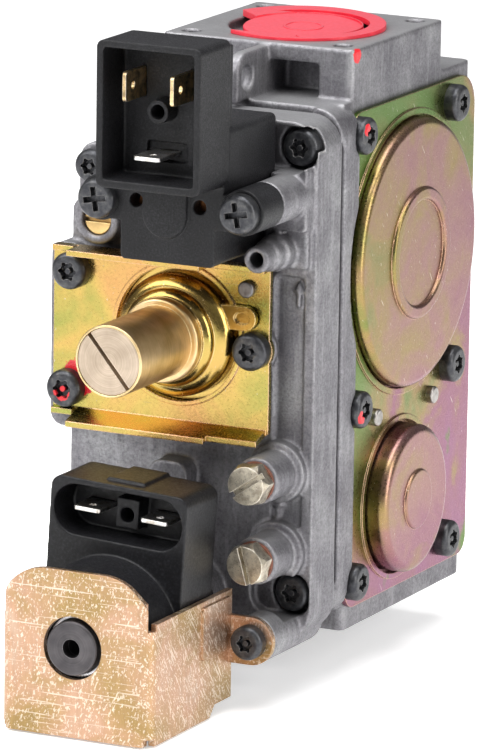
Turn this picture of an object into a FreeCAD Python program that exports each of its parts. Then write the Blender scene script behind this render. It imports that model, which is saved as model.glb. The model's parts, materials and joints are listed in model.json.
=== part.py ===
import FreeCAD, Part
import math
import os

# Two-coil servo gas valve, millimetres.
# The gas path runs straight up: origin on its axis at the inlet face, +Z towards the outlet.
# -Y is the front, which carries the coils, the regulator and the test points.
# +X is the side with the two diaphragm domes.

V = FreeCAD.Vector
FORWARD = V(0, -1, 0)
SIDEWAYS = V(1, 0, 0)
UPWARD = V(0, 0, 1)

# Fits
RUNNING = 0.05
SNUG = 0.02

# Pipe connections, the same at both ends
HEIGHT = 127.0
CONNECTION_HALF = 22.65
BOLT_SPACING = 36.0
OUTLET_BOLT_RADIUS = 2.0
INLET_BOLT_RADIUS = 1.65
BOLT_DEPTH = 9.0
RECESS_RADIUS = 16.2
OUTLET_RECESS_DEPTH = 2.4
OUTLET_BORE_RADIUS = 12.5
OUTLET_BORE_FOOT = 97.0
INLET_RECESS_DEPTH = 3.0
INLET_BORE_RADIUS = 10.0
INLET_BORE_TOP = 12.0
FILTER_SEAT_RADIUS = 12.5
FILTER_SEAT_TOP = 6.0

# Transport plug in the outlet: each circle is its centre's x and y, then its radius
CAP_DISC = (1.7, -3.8, 13.0)
CAP_RING = (0.7, -2.1, 18.0)
CAP_SLOT = (1.2, -2.3, 14.1)
CAP_LEAN_AXIS = V(0.896, 0.443, 0)
CAP_DISC_HEIGHT = 127.7
CAP_DISC_LEAN = 3.0
CAP_RING_HEIGHT = 128.2
CAP_RING_LEAN = 1.5
CAP_OPENING_LEFT = -16.6
CAP_OPENING_FRONT = -17.2
CAP_OPENING_BACK = 3.6
CAP_OPENING_RIGHT = 7.4
CAP_BRIDGE = (-16.0, -4.8, -14.0, 6.6)
CAP_MARK_RADIUS = 4.3

# Rear casting
BODY_LEFT = -31.0
BODY_RIGHT = 22.65
BODY_BACK = 37.5
BODY_STEP = -22.6
DECK = 116.0
FLANGE_FACE = -31.7
FLANGE_REAR = -24.2
FLANGE_RIGHT = 25.6
FLANGE_FOOT = 5.5
CORNER = 6.5

# Lifting ear, whose right face runs on into the pocket beside it
EAR_RIGHT = 2.8
EAR_THICKNESS = 2.6
EAR_FRONT = -37.6
EAR_HEIGHT_ABOVE_DECK = 10.4
EAR_HOLE_Y = -32.6
EAR_HOLE_Z = 120.9
EAR_HOLE_RADIUS = 2.7
POCKET_RIGHT = 14.5
POCKET_BACK = -14.2
POCKET_TOP = 123.4

# Front casting
GASKET = 1.5
GASKET_INSET = 1.6
PAD = 7.4
COVER_BACK = FLANGE_FACE - GASKET
COVER_FACE = -45.0
COVER_FOOT = 3.5
COVER_TOP = 115.0
COVER_LEFT = -32.2
COVER_SHOULDER = -25.5
SHOULDER_HEIGHT = 94.0
BOSS_FACE = COVER_FACE - 2.8
PANEL_DEPTH = 0.9
FLOW_ARROWS = ((21.6, 75.5), (17.5, 28.9))

# M4 screws with a six-lobe recess and a centre pin
SHANK = 1.95
SCREW_HEAD = 4.05
SCREW_HEAD_HEIGHT = 3.1

# Screws that hold the two castings together: two sunk into the right edge, two small ones at the left
SUNK_COVER_SCREWS = ((20.6, 109.3), (20.4, 13.0))
PLAIN_COVER_SCREWS = ((-26.9, 101.3), (-26.0, 17.0))
SUNK_DEPTH = 4.2
SUNK_RADIUS = 4.75
SMALL_HEAD = 3.6
COVER_SCREW_BITE = 6.0

# Main valve, on an axis that runs sideways under the large dome
MAIN_Y = 4.5
MAIN_Z = 79.0
MAIN_DOME_RADIUS = 29.4
MAIN_DOME_FACE = 26.6
MAIN_RIM = 31.0
MAIN_SEAT_RADIUS = 10.0
MAIN_STEM = 2.5

# Safety valve, on a second sideways axis under the small dome
SAFETY_Y = 1.0
SAFETY_Z = 25.3
SAFETY_DOME_RADIUS = 16.2
SAFETY_DOME_FACE = 28.8
SAFETY_RIM = 18.6
SAFETY_SEAT_RADIUS = 7.0
SAFETY_STEM = 2.0

# Both valves share these planes along X
VALVE_WALL_LEFT = -6.0
VALVE_WALL_RIGHT = -3.0
MIDDLE_RIGHT = 10.0
DIAPHRAGM_FLOOR = 14.0
REBATE_FLOOR = 20.45
CHAMBER_LEFT = -27.0
DIAPHRAGM_THICKNESS = 1.0

# Side plate
SIDE_PLATE = 1.15
SIDE_PLATE_REAR_CORNER = 7.5
SIDE_PLATE_FACE = BODY_RIGHT + SIDE_PLATE
SIDE_SCREWS = ((25.0, 108.5), (25.4, 50.3), (24.6, 11.0), (-21.8, 108.8), (-21.8, 49.3), (-21.8, 11.3))
SIDE_PINS = ((16.7, 44.9), (-11.8, 45.5))

# Pressure regulator, on an axis that runs forwards
REGULATOR_X = -4.6
REGULATOR_Z = 67.8
PLATE_FACE = -49.0
PLATE = 1.2
PLATE_LEFT = -34.4
PLATE_RIGHT = 16.9
PLATE_FOOT = 47.9
PLATE_TOP = 84.3
REGULATOR_HOLE = 14.6
REGULATOR_RING = 0.5
CUP_FLANGE = 15.3
REGULATOR_SCREWS = ((-29.7, 79.0), (-30.7, 53.3), (13.3, 66.1))
REGULATOR_PIN = (11.7, 79.2)
SLEEVE_RADIUS = 7.75
SLEEVE_FRONT = -81.0
SLEEVE_BACK = -57.4
ADJUSTER_RADIUS = 7.2
ADJUSTER_PITCH = 1.0

# Upper coil, which drives the pilot valve
PILOT_X = 4.0
PILOT_Z = 97.5
PILOT_FACE = -70.0
PILOT_BACK = -46.0
PILOT_LEFT = -7.7
PILOT_RIGHT = 16.2
SOCKET_FACE = -82.0
SOCKET_LEFT = -7.6
SOCKET_RIGHT = 16.4
SOCKET_FOOT = 104.7
SOCKET_TOP = 135.6
PILOT_SCREWS = ((-12.5, 100.0), (20.4, 99.9))

# Lower coil, which drives the safety valve
COIL_X = -4.95
BRACKET_X = -4.6
COIL_Z = 9.5
COIL_RADIUS = 16.0
COIL_FRONT = -93.6
COIL_BACK = -59.5
COIL_TILT = 3.2
PLUG_FACE = -78.0
PLUG_BACK = -63.5
BRACKET_FACE = -95.0
BRACKET = 1.3
BRACKET_HALF = 17.7
BRACKET_FOOT = -9.8
BRACKET_TOP = 25.9
BRACKET_SIDE_TOP = 16.2
EAR_FACE = -58.4
EAR_X = 22.8
EAR_Z = 5.6

# Blade terminals
BLADE = 6.3
BLADE_THICKNESS = 0.8

# Test points, throttle and air reference
TEST_X = 17.9
OUTLET_TEST_Z = 39.8
INLET_TEST_Z = 22.5
TEST_BARREL = 5.1
TEST_BARREL_FRONT = -56.5
TEST_HEX = 8.2
OUTLET_SLOT = 35
INLET_SLOT = 106
AIR_X = 18.1
AIR_Z = 87.7
THROTTLE_X = -24.0
THROTTLE_Z = 90.3


def block(x0, x1, y0, y1, z0, z1):
    return Part.makeBox(x1 - x0, y1 - y0, z1 - z0, V(x0, y0, z0))


def bar_y(radius, x, z, back, front):
    """A round bar from the plane y = back forwards to the plane y = front."""
    return Part.makeCylinder(radius, back - front, V(x, back, z), FORWARD)


def bar_x(radius, y, z, left, right):
    return Part.makeCylinder(radius, right - left, V(left, y, z), SIDEWAYS)


def bar_z(radius, x, y, foot, top):
    return Part.makeCylinder(radius, top - foot, V(x, y, foot), UPWARD)


def tube_y(outer, inner, x, z, back, front):
    return bar_y(outer, x, z, back, front).cut(bar_y(inner, x, z, back + 1, front - 1))


def tube_x(outer, inner, y, z, left, right):
    return bar_x(outer, y, z, left, right).cut(bar_x(inner, y, z, left - 1, right + 1))


def rounded(shape, direction, radius):
    """Rounds every straight edge that runs along direction."""
    picked = []
    for edge in shape.Edges:
        if edge.Curve.TypeId != "Part::GeomLine":
            continue
        along = edge.tangentAt(edge.FirstParameter)
        if abs(along.dot(direction)) > 0.999:
            picked.append(edge)
    return shape.makeFillet(radius, picked)


def softened(shape, plane_point, normal, radius):
    """Rounds every edge that lies in the plane through plane_point."""
    picked = []
    for edge in shape.Edges:
        offsets = [abs((v.Point - plane_point).dot(normal)) for v in edge.Vertexes]
        middle = edge.valueAt((edge.FirstParameter + edge.LastParameter) / 2)
        offsets.append(abs((middle - plane_point).dot(normal)))
        if max(offsets) < 1e-6:
            picked.append(edge)
    return shape.makeFillet(radius, picked)


def slab_y(x0, x1, z0, z1, back, front, corner):
    return rounded(block(x0, x1, front, back, z0, z1), V(0, 1, 0), corner)


def placed(shape, toward, at):
    """Turns a shape made along +Z to point toward a direction, and moves its origin."""
    move = FreeCAD.Placement(at, FreeCAD.Rotation(UPWARD, toward))
    shape.Placement = move.multiply(shape.Placement)
    return shape


def joined(shapes):
    first = shapes[0]
    if len(shapes) == 1:
        return first
    return first.multiFuse(shapes[1:]).removeSplitter()


def save(name, shapes):
    if not isinstance(shapes, list):
        shapes = [shapes]
    solids = []
    for shape in shapes:
        solids.extend(shape.Solids)
    whole = solids[0] if len(solids) == 1 else Part.makeCompound(solids)
    for solid in solids:
        if not solid.isValid() or solid.Volume <= 0:
            raise ValueError(name + " has a bad solid")
    whole.exportStep("parts/" + name + ".step")


def bolt_circle():
    half = BOLT_SPACING / 2
    return [(x, y) for x in (-half, half) for y in (-half, half)]


# ---------------------------------------------------------------- fasteners


def six_lobe(radius, depth, top):
    """A six-lobe socket whose mouth is at height top."""
    core = bar_z(radius * 0.8, 0, 0, top - depth, top + 1)
    lobes = []
    for i in range(6):
        angle = math.radians(60 * i)
        x = radius * 0.8 * math.cos(angle)
        y = radius * 0.8 * math.sin(angle)
        lobes.append(bar_z(radius * 0.22, x, y, top - depth, top + 1))
    pin = bar_z(radius * 0.3, 0, 0, top - depth - 1, top - 0.35)
    return core.multiFuse(lobes).cut(pin)


def lobe_screw(head_radius, head_height, shank_radius, shank_length):
    """Head upwards from z = 0, shank downwards."""
    head = bar_z(head_radius, 0, 0, 0, head_height)
    head = softened(head, V(0, 0, head_height), UPWARD, head_height * 0.38)
    head = head.cut(six_lobe(head_radius * 0.52, head_height * 0.6, head_height))
    return joined([head, bar_z(shank_radius, 0, 0, -shank_length, 0)])


def cross_screw(head_radius, head_height, shank_radius, shank_length):
    head = bar_z(head_radius, 0, 0, 0, head_height)
    head = softened(head, V(0, 0, head_height), UPWARD, head_height * 0.35)
    reach = head_radius * 0.62
    half = head_radius * 0.15
    for turn in (10, 100):
        arm = block(-reach, reach, -half, half, head_height * 0.4, head_height + 1)
        arm.rotate(V(0, 0, 0), UPWARD, turn)
        head = head.cut(arm)
    return joined([head, bar_z(shank_radius, 0, 0, -shank_length, 0)])


def hexagon(across_flats, foot, top):
    radius = across_flats / math.sqrt(3)
    corners = []
    for i in range(7):
        angle = math.radians(60 * i + 30)
        corners.append(V(radius * math.cos(angle), radius * math.sin(angle), foot))
    return Part.Face(Part.makePolygon(corners)).extrude(V(0, 0, top - foot))


def spring(coil_radius, wire_radius, turns, length):
    """An open helical spring along +Z from z = 0 to z = length, wire included."""
    rise = length - 2 * wire_radius
    helix = Part.makeLongHelix(rise / turns, rise, coil_radius)
    start = V(0, coil_radius, rise / turns / (2 * math.pi))
    profile = Part.Wire(Part.makeCircle(wire_radius, V(coil_radius, 0, 0), start))
    coil = Part.Wire(helix).makePipeShell([profile], True, True)
    coil.translate(V(0, 0, wire_radius))
    return coil


# ---------------------------------------------------------------- castings


def body_shell():
    main = block(BODY_LEFT, BODY_RIGHT, BODY_STEP, BODY_BACK, 0, DECK)
    main = rounded(main, UPWARD, 2.0)
    head = block(-CONNECTION_HALF, CONNECTION_HALF, -CONNECTION_HALF, CONNECTION_HALF, DECK - 8, HEIGHT)
    head = rounded(head, UPWARD, 1.2)
    flange = slab_y(BODY_LEFT, FLANGE_RIGHT, FLANGE_FOOT, DECK, FLANGE_REAR, FLANGE_FACE, CORNER)
    bridge = block(BODY_LEFT, BODY_RIGHT, FLANGE_REAR - 2, BODY_STEP + 3, FLANGE_FOOT, DECK)
    left = FLANGE_RIGHT - PAD
    pads = [
        slab_y(left, FLANGE_RIGHT, DECK - PAD, DECK, FLANGE_FACE, COVER_BACK + SNUG, 1.5),
        slab_y(left, FLANGE_RIGHT, FLANGE_FOOT, FLANGE_FOOT + PAD, FLANGE_FACE, COVER_BACK + SNUG, 1.5),
    ]
    corner_trim = slab_y(BODY_LEFT, FLANGE_RIGHT, FLANGE_FOOT, DECK, FLANGE_REAR, COVER_BACK, CORNER)
    pads = [pad.common(corner_trim) for pad in pads]
    return joined([main, head, bridge, flange] + pads)


def lifting_ear():
    """The ear on the front of the outlet block, with a round hole through it."""
    top = DECK + EAR_HEIGHT_ABOVE_DECK
    left = EAR_RIGHT - EAR_THICKNESS
    ear = block(left, EAR_RIGHT, EAR_FRONT, -20.0, DECK, top)
    front_top = [
        e
        for e in ear.Edges
        if abs(e.CenterOfMass.y - EAR_FRONT) < 1e-6 and abs(e.CenterOfMass.z - top) < 1e-6
    ]
    ear = ear.makeFillet(4.5, front_top)
    foot = block(left, EAR_RIGHT, FLANGE_FACE, -20.0, DECK - 2, DECK + 1)
    ear = ear.fuse(foot).removeSplitter()
    return ear.cut(bar_x(EAR_HOLE_RADIUS, EAR_HOLE_Y, EAR_HOLE_Z, left - 2, EAR_RIGHT + 2))


def back_relief():
    """Weight-saving pockets in the rear and left faces."""
    cuts = []
    for z in (22.0, 96.0):
        cuts.append(slab_y(BODY_LEFT + 8, BODY_RIGHT - 8, z - 9, z + 9, BODY_BACK + 1, BODY_BACK - 3, 4))
    cuts.append(slab_y(BODY_LEFT + 8, -8.5, 38, 80, BODY_BACK + 1, BODY_BACK - 3, 4))
    cuts.append(slab_y(-4.5, BODY_RIGHT - 8, 38, 80, BODY_BACK + 1, BODY_BACK - 3, 4))
    for y0, y1 in ((-17, 6), (10, 31)):
        pocket = block(BODY_LEFT - 1, BODY_LEFT + 2, y0, y1, 44, 57)
        cuts.append(rounded(pocket, SIDEWAYS, 3))
    return cuts


def valve_chambers(y, z, seat, stem, rim, floor_radius, middle_radius, chamber_radius):
    """Cavities along one sideways axis, from the side plate to the far wall."""
    return [
        bar_x(rim + 0.3, y, z, REBATE_FLOOR, BODY_RIGHT + 0.5),
        bar_x(floor_radius, y, z, DIAPHRAGM_FLOOR, REBATE_FLOOR + 1),
        bar_x(stem + RUNNING, y, z, MIDDLE_RIGHT - 1, DIAPHRAGM_FLOOR + 1),
        bar_x(middle_radius, y, z, VALVE_WALL_RIGHT, MIDDLE_RIGHT),
        bar_x(seat, y, z, VALVE_WALL_LEFT - 1, VALVE_WALL_RIGHT + 1),
        bar_x(chamber_radius, y, z, CHAMBER_LEFT, VALVE_WALL_LEFT),
    ]


def main_body():
    shape = joined([body_shell(), lifting_ear()])
    cuts = []
    cuts.append(bar_z(RECESS_RADIUS, 0, 0, HEIGHT - OUTLET_RECESS_DEPTH, HEIGHT + 1))
    cuts.append(bar_z(OUTLET_BORE_RADIUS, 0, 0, OUTLET_BORE_FOOT, HEIGHT))
    cuts.append(bar_z(RECESS_RADIUS, 0, 0, -1, INLET_RECESS_DEPTH))
    cuts.append(bar_z(FILTER_SEAT_RADIUS, 0, 0, 0, FILTER_SEAT_TOP))
    cuts.append(bar_z(INLET_BORE_RADIUS, 0, 0, 0, INLET_BORE_TOP))
    for x, y in bolt_circle():
        cuts.append(bar_z(OUTLET_BOLT_RADIUS, x, y, HEIGHT - BOLT_DEPTH, HEIGHT + 1))
        cuts.append(bar_z(INLET_BOLT_RADIUS, x, y, -1, BOLT_DEPTH))
    cuts.append(block(EAR_RIGHT, POCKET_RIGHT, -CONNECTION_HALF - 1, POCKET_BACK, DECK, POCKET_TOP))
    cuts += valve_chambers(MAIN_Y, MAIN_Z, MAIN_SEAT_RADIUS, MAIN_STEM, MAIN_RIM, 27.0, 14.0, 17.0)
    cuts += valve_chambers(SAFETY_Y, SAFETY_Z, SAFETY_SEAT_RADIUS, SAFETY_STEM, SAFETY_RIM, 15.5, 10.0, 12.0)
    cuts.append(block(CHAMBER_LEFT, -7, -8, 12, 85, 108))
    cuts.append(block(CHAMBER_LEFT, -7, -8, 8, 5, 20))
    cuts.append(block(0, 8, -3, 7, SAFETY_Z, MAIN_Z))
    cuts.append(bar_y(2.5, COIL_X, COIL_Z, -5, FLANGE_FACE - 2))
    cuts.append(bar_y(2.0, PILOT_X, PILOT_Z, -9, FLANGE_FACE - 2))
    scallop = bar_x(MAIN_RIM + 1.2, MAIN_Y, MAIN_Z, BODY_RIGHT, FLANGE_RIGHT + 1)
    cuts.append(scallop)
    for y, z in SIDE_SCREWS:
        cuts.append(bar_x(SCREW_HEAD + 0.35, y, z, BODY_RIGHT, FLANGE_RIGHT + 1))
        cuts.append(bar_x(SHANK + SNUG, y, z, BODY_RIGHT - 9, BODY_RIGHT + 1))
    for y, z in SIDE_PINS:
        cuts.append(bar_x(1.5 + SNUG, y, z, BODY_RIGHT - 4, BODY_RIGHT + 1))
    for x, z in SUNK_COVER_SCREWS + PLAIN_COVER_SCREWS:
        cuts.append(bar_y(SHANK + SNUG, x, z, FLANGE_FACE + 8, FLANGE_FACE - 2))
    cuts += back_relief()
    return shape.cut(Part.makeCompound(cuts)).removeSplitter()


def cover_outline(back, front, inset):
    """The cover's outline, shared with the gasket behind it."""
    main = slab_y(COVER_SHOULDER, FLANGE_RIGHT - inset, COVER_FOOT + inset, COVER_TOP - inset, back, front, CORNER)
    left = slab_y(COVER_LEFT + inset, 0, COVER_FOOT + inset, SHOULDER_HEIGHT, back, front, 3.0)
    lug = slab_y(-30.6 + inset, -20, 80, 106 - inset, back, front, 3.5)
    return [main, left, lug]


def cover_bosses():
    bosses = []
    for x, z in REGULATOR_SCREWS:
        bosses.append(bar_y(4.6, x, z, COVER_FACE + 1, BOSS_FACE))
    bosses.append(slab_y(-35.8, -28, 44.2, 84.4, COVER_FACE + 7, BOSS_FACE, 3.0))
    x, z = PILOT_SCREWS[1]
    bosses.append(bar_y(4.9, x, z, COVER_FACE + 1, -60.0))
    bosses.append(slab_y(PILOT_RIGHT + 0.3, FLANGE_RIGHT - 0.6, z - 7.5, z + 6.2, COVER_FACE + 1, -49.0, 1.0))
    x, z = PILOT_SCREWS[0]
    bosses.append(bar_y(4.6, x, z, COVER_FACE + 1, -60.0))
    for z in (OUTLET_TEST_Z, INLET_TEST_Z):
        bosses.append(bar_y(TEST_BARREL, TEST_X, z, COVER_FACE + 1, TEST_BARREL_FRONT))
        bosses.append(bar_y(6.6, TEST_X, z, COVER_FACE + 1, -47.5))
    bosses.append(bar_y(4.0, AIR_X, AIR_Z, COVER_FACE + 1, -50.5))
    bosses.append(bar_y(3.4, AIR_X, AIR_Z, COVER_FACE + 1, -54.0))
    bosses.append(bar_y(2.9, AIR_X, AIR_Z, COVER_FACE + 1, -58.5))
    bosses.append(bar_y(5.2, THROTTLE_X, THROTTLE_Z, COVER_FACE + 1, -50.0))
    for side in (-1, 1):
        bosses.append(bar_y(5.2, BRACKET_X + side * EAR_X, EAR_Z, COVER_BACK - 1, EAR_FACE + BRACKET))
    bosses.append(bar_y(11.0, COIL_X, COIL_Z, COVER_BACK, -58.0))
    bosses.append(slab_y(-10.5, -1.5, 30.0, 40.3, COVER_FACE + 1, -50.5, 3.0))
    bosses.append(slab_y(16.6, FLANGE_RIGHT - 1.2, 84.0, 93.5, COVER_FACE + 1, -47.0, 1.0))
    return bosses


def flow_arrow(x, z):
    """A plain, thin raised arrow that points along the flow, its foot at z."""
    outline = ((-0.4, 0), (0.4, 0), (0.4, 3.1), (1.2, 3.1), (0, 5.2), (-1.2, 3.1), (-0.4, 3.1))
    points = [V(x + dx, COVER_FACE + PANEL_DEPTH + 0.1, z + dz) for dx, dz in outline]
    points.append(points[0])
    return Part.Face(Part.makePolygon(points)).extrude(V(0, -PANEL_DEPTH - 0.2, 0))


def front_cover():
    solid = joined(cover_outline(COVER_BACK, COVER_FACE, 0) + cover_bosses())
    panel = slab_y(16.0, 23.0, 27.5, 82.0, COVER_FACE + PANEL_DEPTH, COVER_FACE - 1, 1.5)
    for z in (OUTLET_TEST_Z, INLET_TEST_Z):
        panel = panel.cut(bar_y(6.6, TEST_X, z, COVER_FACE + 2, COVER_FACE - 2))
    plate_room = block(PLATE_LEFT, PLATE_RIGHT + 0.2, -60, BOSS_FACE, PLATE_FOOT - 2, PLATE_TOP + 0.2)
    cup_room = bar_y(CUP_FLANGE + 0.3, REGULATOR_X, REGULATOR_Z, COVER_FACE, COVER_FACE - 6)
    cuts = [panel, plate_room, cup_room]
    for x, z in SUNK_COVER_SCREWS + PLAIN_COVER_SCREWS:
        cuts.append(bar_y(SHANK + SNUG, x, z, COVER_BACK + 1, COVER_FACE - 2))
    for x, z in SUNK_COVER_SCREWS:
        cuts.append(bar_y(SUNK_RADIUS, x, z, COVER_FACE + SUNK_DEPTH, COVER_FACE - 6))
        step = COVER_FACE + SUNK_DEPTH - 1.9
        cuts.append(slab_y(x - 9.0, x + SUNK_RADIUS - 0.05, z - 4.6, z + 4.7, step, COVER_FACE - 6, 3.6))
    for x, z in REGULATOR_SCREWS:
        cuts.append(bar_y(SHANK + SNUG, x, z, BOSS_FACE + 9, BOSS_FACE - 1))
    for x, z in PILOT_SCREWS:
        cuts.append(bar_y(1.75 + SNUG, x, z, -50, -61))
    x, z = REGULATOR_PIN
    cuts.append(bar_y(1.5 + SNUG, x, z, COVER_FACE + 4, COVER_FACE - 1))
    for z in (OUTLET_TEST_Z, INLET_TEST_Z):
        cuts.append(bar_y(2.9 + RUNNING, TEST_X, z, COVER_FACE + 4, TEST_BARREL_FRONT - 1))
    cuts.append(bar_y(1.6, AIR_X, AIR_Z, COVER_FACE + 4, -59))
    cuts.append(bar_y(3.3 + RUNNING, THROTTLE_X, THROTTLE_Z, COVER_FACE + 3, -51))
    for side in (-1, 1):
        cuts.append(bar_y(SHANK + SNUG, BRACKET_X + side * EAR_X, EAR_Z, COVER_FACE + 3, -59))
    cuts.append(bar_y(7.5, COIL_X, COIL_Z, -38.0, -59))
    cuts.append(bar_y(2.5, COIL_X, COIL_Z, COVER_BACK + 1, -39))
    cuts.append(block(COIL_X - 2.5, COIL_X + 2.5, -42.5, -38.5, COIL_Z, 28))
    cuts.append(bar_y(2.0, COIL_X, 26.5, COVER_BACK + 1, -40))
    cuts.append(bar_y(12.5, REGULATOR_X, REGULATOR_Z, COVER_FACE + 5, COVER_FACE - 2))
    cuts.append(bar_y(1.5, PILOT_X, PILOT_Z, COVER_BACK + 1, COVER_FACE - 1))
    cuts.append(slab_y(-22, 14, 48, 56, COVER_BACK + 1, COVER_BACK - 5, 3))
    cuts.append(slab_y(-22, 12, 82, 90, COVER_BACK + 1, COVER_BACK - 5, 3))
    shape = solid.cut(Part.makeCompound(cuts))
    marks = [bar_y(1.3, -21.2, 42.5, COVER_FACE + 0.5, COVER_FACE - 0.25)]
    marks.append(bar_y(1.5, 7.0, 43.0, COVER_FACE + 0.5, COVER_FACE - 0.25))
    marks += [flow_arrow(x, z) for x, z in FLOW_ARROWS]
    return joined([shape] + marks)


def cover_gasket():
    sheet = joined(cover_outline(FLANGE_FACE - SNUG, COVER_BACK + SNUG, GASKET_INSET))
    holes = []
    for x, z in SUNK_COVER_SCREWS + PLAIN_COVER_SCREWS:
        holes.append(bar_y(SHANK + 0.2, x, z, 0, -60))
    holes.append(bar_y(3.0, COIL_X, COIL_Z, 0, -60))
    holes.append(bar_y(2.5, COIL_X, 26.5, 0, -60))
    holes.append(bar_y(2.5, PILOT_X, PILOT_Z, 0, -60))
    pad_left = FLANGE_RIGHT - PAD - 0.1
    holes.append(block(pad_left, FLANGE_RIGHT + 1, -60, 0, DECK - PAD - 0.1, DECK + 1))
    holes.append(block(pad_left, FLANGE_RIGHT + 1, -60, 0, 0, FLANGE_FOOT + PAD + 0.1))
    foot = block(BODY_LEFT - 5, FLANGE_RIGHT + 5, -60, 0, -5, FLANGE_FOOT + GASKET_INSET)
    left = block(COVER_LEFT - 5, BODY_LEFT + GASKET_INSET, -60, 0, -5, DECK + 5)
    return sheet.cut(Part.makeCompound(holes + [foot, left]))


def cover_screws():
    kinds = (
        (SUNK_COVER_SCREWS, COVER_FACE + SUNK_DEPTH, SCREW_HEAD),
        (PLAIN_COVER_SCREWS, COVER_FACE, SMALL_HEAD),
    )
    screws = []
    for places, seat, head in kinds:
        length = COVER_BACK - seat + GASKET + COVER_SCREW_BITE
        for x, z in places:
            screw = lobe_screw(head, SCREW_HEAD_HEIGHT, SHANK, length)
            screws.append(placed(screw, FORWARD, V(x, seat - SNUG, z)))
    return screws


# ---------------------------------------------------------------- side plate and domes


def side_plate():
    foot = 5.2
    top = 113.6
    plate = block(BODY_RIGHT + SNUG, SIDE_PLATE_FACE, FLANGE_REAR + 0.1, BODY_BACK - 0.1, foot, top)
    corners = []
    for edge in plate.Edges:
        if abs(edge.tangentAt(edge.FirstParameter).x) > 0.999:
            corners.append(edge)
    rear_top = [e for e in corners if e.CenterOfMass.y > 0 and e.CenterOfMass.z > MAIN_Z]
    plate = plate.makeFillet(SIDE_PLATE_REAR_CORNER, rear_top)
    rest = []
    for edge in plate.Edges:
        middle = edge.CenterOfMass
        straight = edge.Curve.TypeId == "Part::GeomLine" and abs(edge.tangentAt(edge.FirstParameter).x) > 0.999
        if straight and not (middle.y > 0 and middle.z > MAIN_Z):
            rest.append(edge)
    plate = plate.makeFillet(4.0, rest)
    bulge = bar_x(MAIN_RIM + 0.9, MAIN_Y, MAIN_Z, BODY_RIGHT + SNUG, SIDE_PLATE_FACE)
    bulge = bulge.common(block(0, 40, -40, 0, foot, top))
    rims = [
        tube_x(MAIN_RIM + 0.2, MAIN_DOME_RADIUS + 0.45, MAIN_Y, MAIN_Z, BODY_RIGHT + 0.3, SIDE_PLATE_FACE + 0.45),
        tube_x(18.1, SAFETY_DOME_RADIUS + 0.75, SAFETY_Y, SAFETY_Z, BODY_RIGHT + 0.3, SIDE_PLATE_FACE + 0.45),
    ]
    shape = joined([plate, bulge] + rims)
    cuts = [
        bar_x(MAIN_DOME_RADIUS + 0.45, MAIN_Y, MAIN_Z, 0, 40),
        bar_x(SAFETY_DOME_RADIUS + 0.75, SAFETY_Y, SAFETY_Z, 0, 40),
    ]
    for y, z in SIDE_SCREWS:
        cuts.append(bar_x(SHANK + 0.15, y, z, 0, 40))
    for y, z in SIDE_PINS:
        cuts.append(bar_x(1.5 + SNUG, y, z, 0, 40))
    return shape.cut(Part.makeCompound(cuts))


def side_screws():
    return [
        placed(lobe_screw(SCREW_HEAD, SCREW_HEAD_HEIGHT, SHANK, 9.5), SIDEWAYS, V(SIDE_PLATE_FACE + SNUG, y, z))
        for y, z in SIDE_SCREWS
    ]


def pin_y(x, z, face, depth):
    head = softened(bar_y(1.85, x, z, face, face - 1.4), V(x, face - 1.4, z), FORWARD, 0.5)
    return joined([head, bar_y(1.5, x, z, face + depth, face)])


def side_pins():
    pins = []
    for y, z in SIDE_PINS:
        face = SIDE_PLATE_FACE + SNUG
        head = softened(bar_x(1.9, y, z, face, face + 1.6), V(face + 1.6, y, z), SIDEWAYS, 0.5)
        pins.append(joined([head, bar_x(1.5, y, z, face - 4.5, face)]))
    return pins


def pressed_dome(y, z, radius, face, rim, edge):
    """A pressed steel cup with an outer rim, open towards the body."""
    wall = 1.0
    rim_left = REBATE_FLOOR + DIAPHRAGM_THICKNESS + 0.1
    outer = softened(bar_x(radius, y, z, rim_left, face), V(face, y, z), SIDEWAYS, edge)
    flange = bar_x(rim, y, z, rim_left, rim_left + wall)
    inner = bar_x(radius - wall, y, z, rim_left - 1, face - wall)
    inner = softened(inner, V(face - wall, y, z), SIDEWAYS, edge * 0.5)
    return joined([outer, flange]).cut(inner)


def main_dome():
    dome = pressed_dome(MAIN_Y, MAIN_Z, MAIN_DOME_RADIUS, MAIN_DOME_FACE, MAIN_RIM, 1.6)
    ridge = tube_x(14.4, 11.6, MAIN_Y, MAIN_Z, MAIN_DOME_FACE - 0.5, MAIN_DOME_FACE + 0.8)
    ridge = softened(ridge, V(MAIN_DOME_FACE + 0.8, MAIN_Y, MAIN_Z), SIDEWAYS, 0.65)
    return joined([dome, ridge])


def safety_dome():
    dome = pressed_dome(SAFETY_Y, SAFETY_Z, SAFETY_DOME_RADIUS, SAFETY_DOME_FACE, SAFETY_RIM, 1.9)
    button = bar_x(6.6, SAFETY_Y, SAFETY_Z, SAFETY_DOME_FACE - 0.5, SAFETY_DOME_FACE + 0.6)
    button = softened(button, V(SAFETY_DOME_FACE + 0.6, SAFETY_Y, SAFETY_Z), SIDEWAYS, 0.5)
    return joined([dome, button])


# ---------------------------------------------------------------- inner valves


def diaphragm(y, z, rim, plate_radius):
    """A rubber disc with one shallow roll between its rim and its centre plates."""
    left = REBATE_FLOOR + SNUG
    disc = bar_x(rim, y, z, left, left + DIAPHRAGM_THICKNESS)
    middle = plate_radius + 2.4
    roll = Part.makeTorus(middle, 1.3, V(left + DIAPHRAGM_THICKNESS / 2, y, z), SIDEWAYS)
    roll = roll.common(bar_x(rim, y, z, left - 3, left + 0.4))
    return joined([disc, roll]).cut(bar_x(3.0, y, z, left - 5, left + 5))


def diaphragm_plates(y, z, radius, stem):
    left = REBATE_FLOOR + SNUG
    back = tube_x(radius, stem + SNUG, y, z, left - 1.1, left - SNUG)
    front = tube_x(radius, stem + SNUG, y, z, left + DIAPHRAGM_THICKNESS + SNUG, left + DIAPHRAGM_THICKNESS + 1.0)
    return [back, front]


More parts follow.
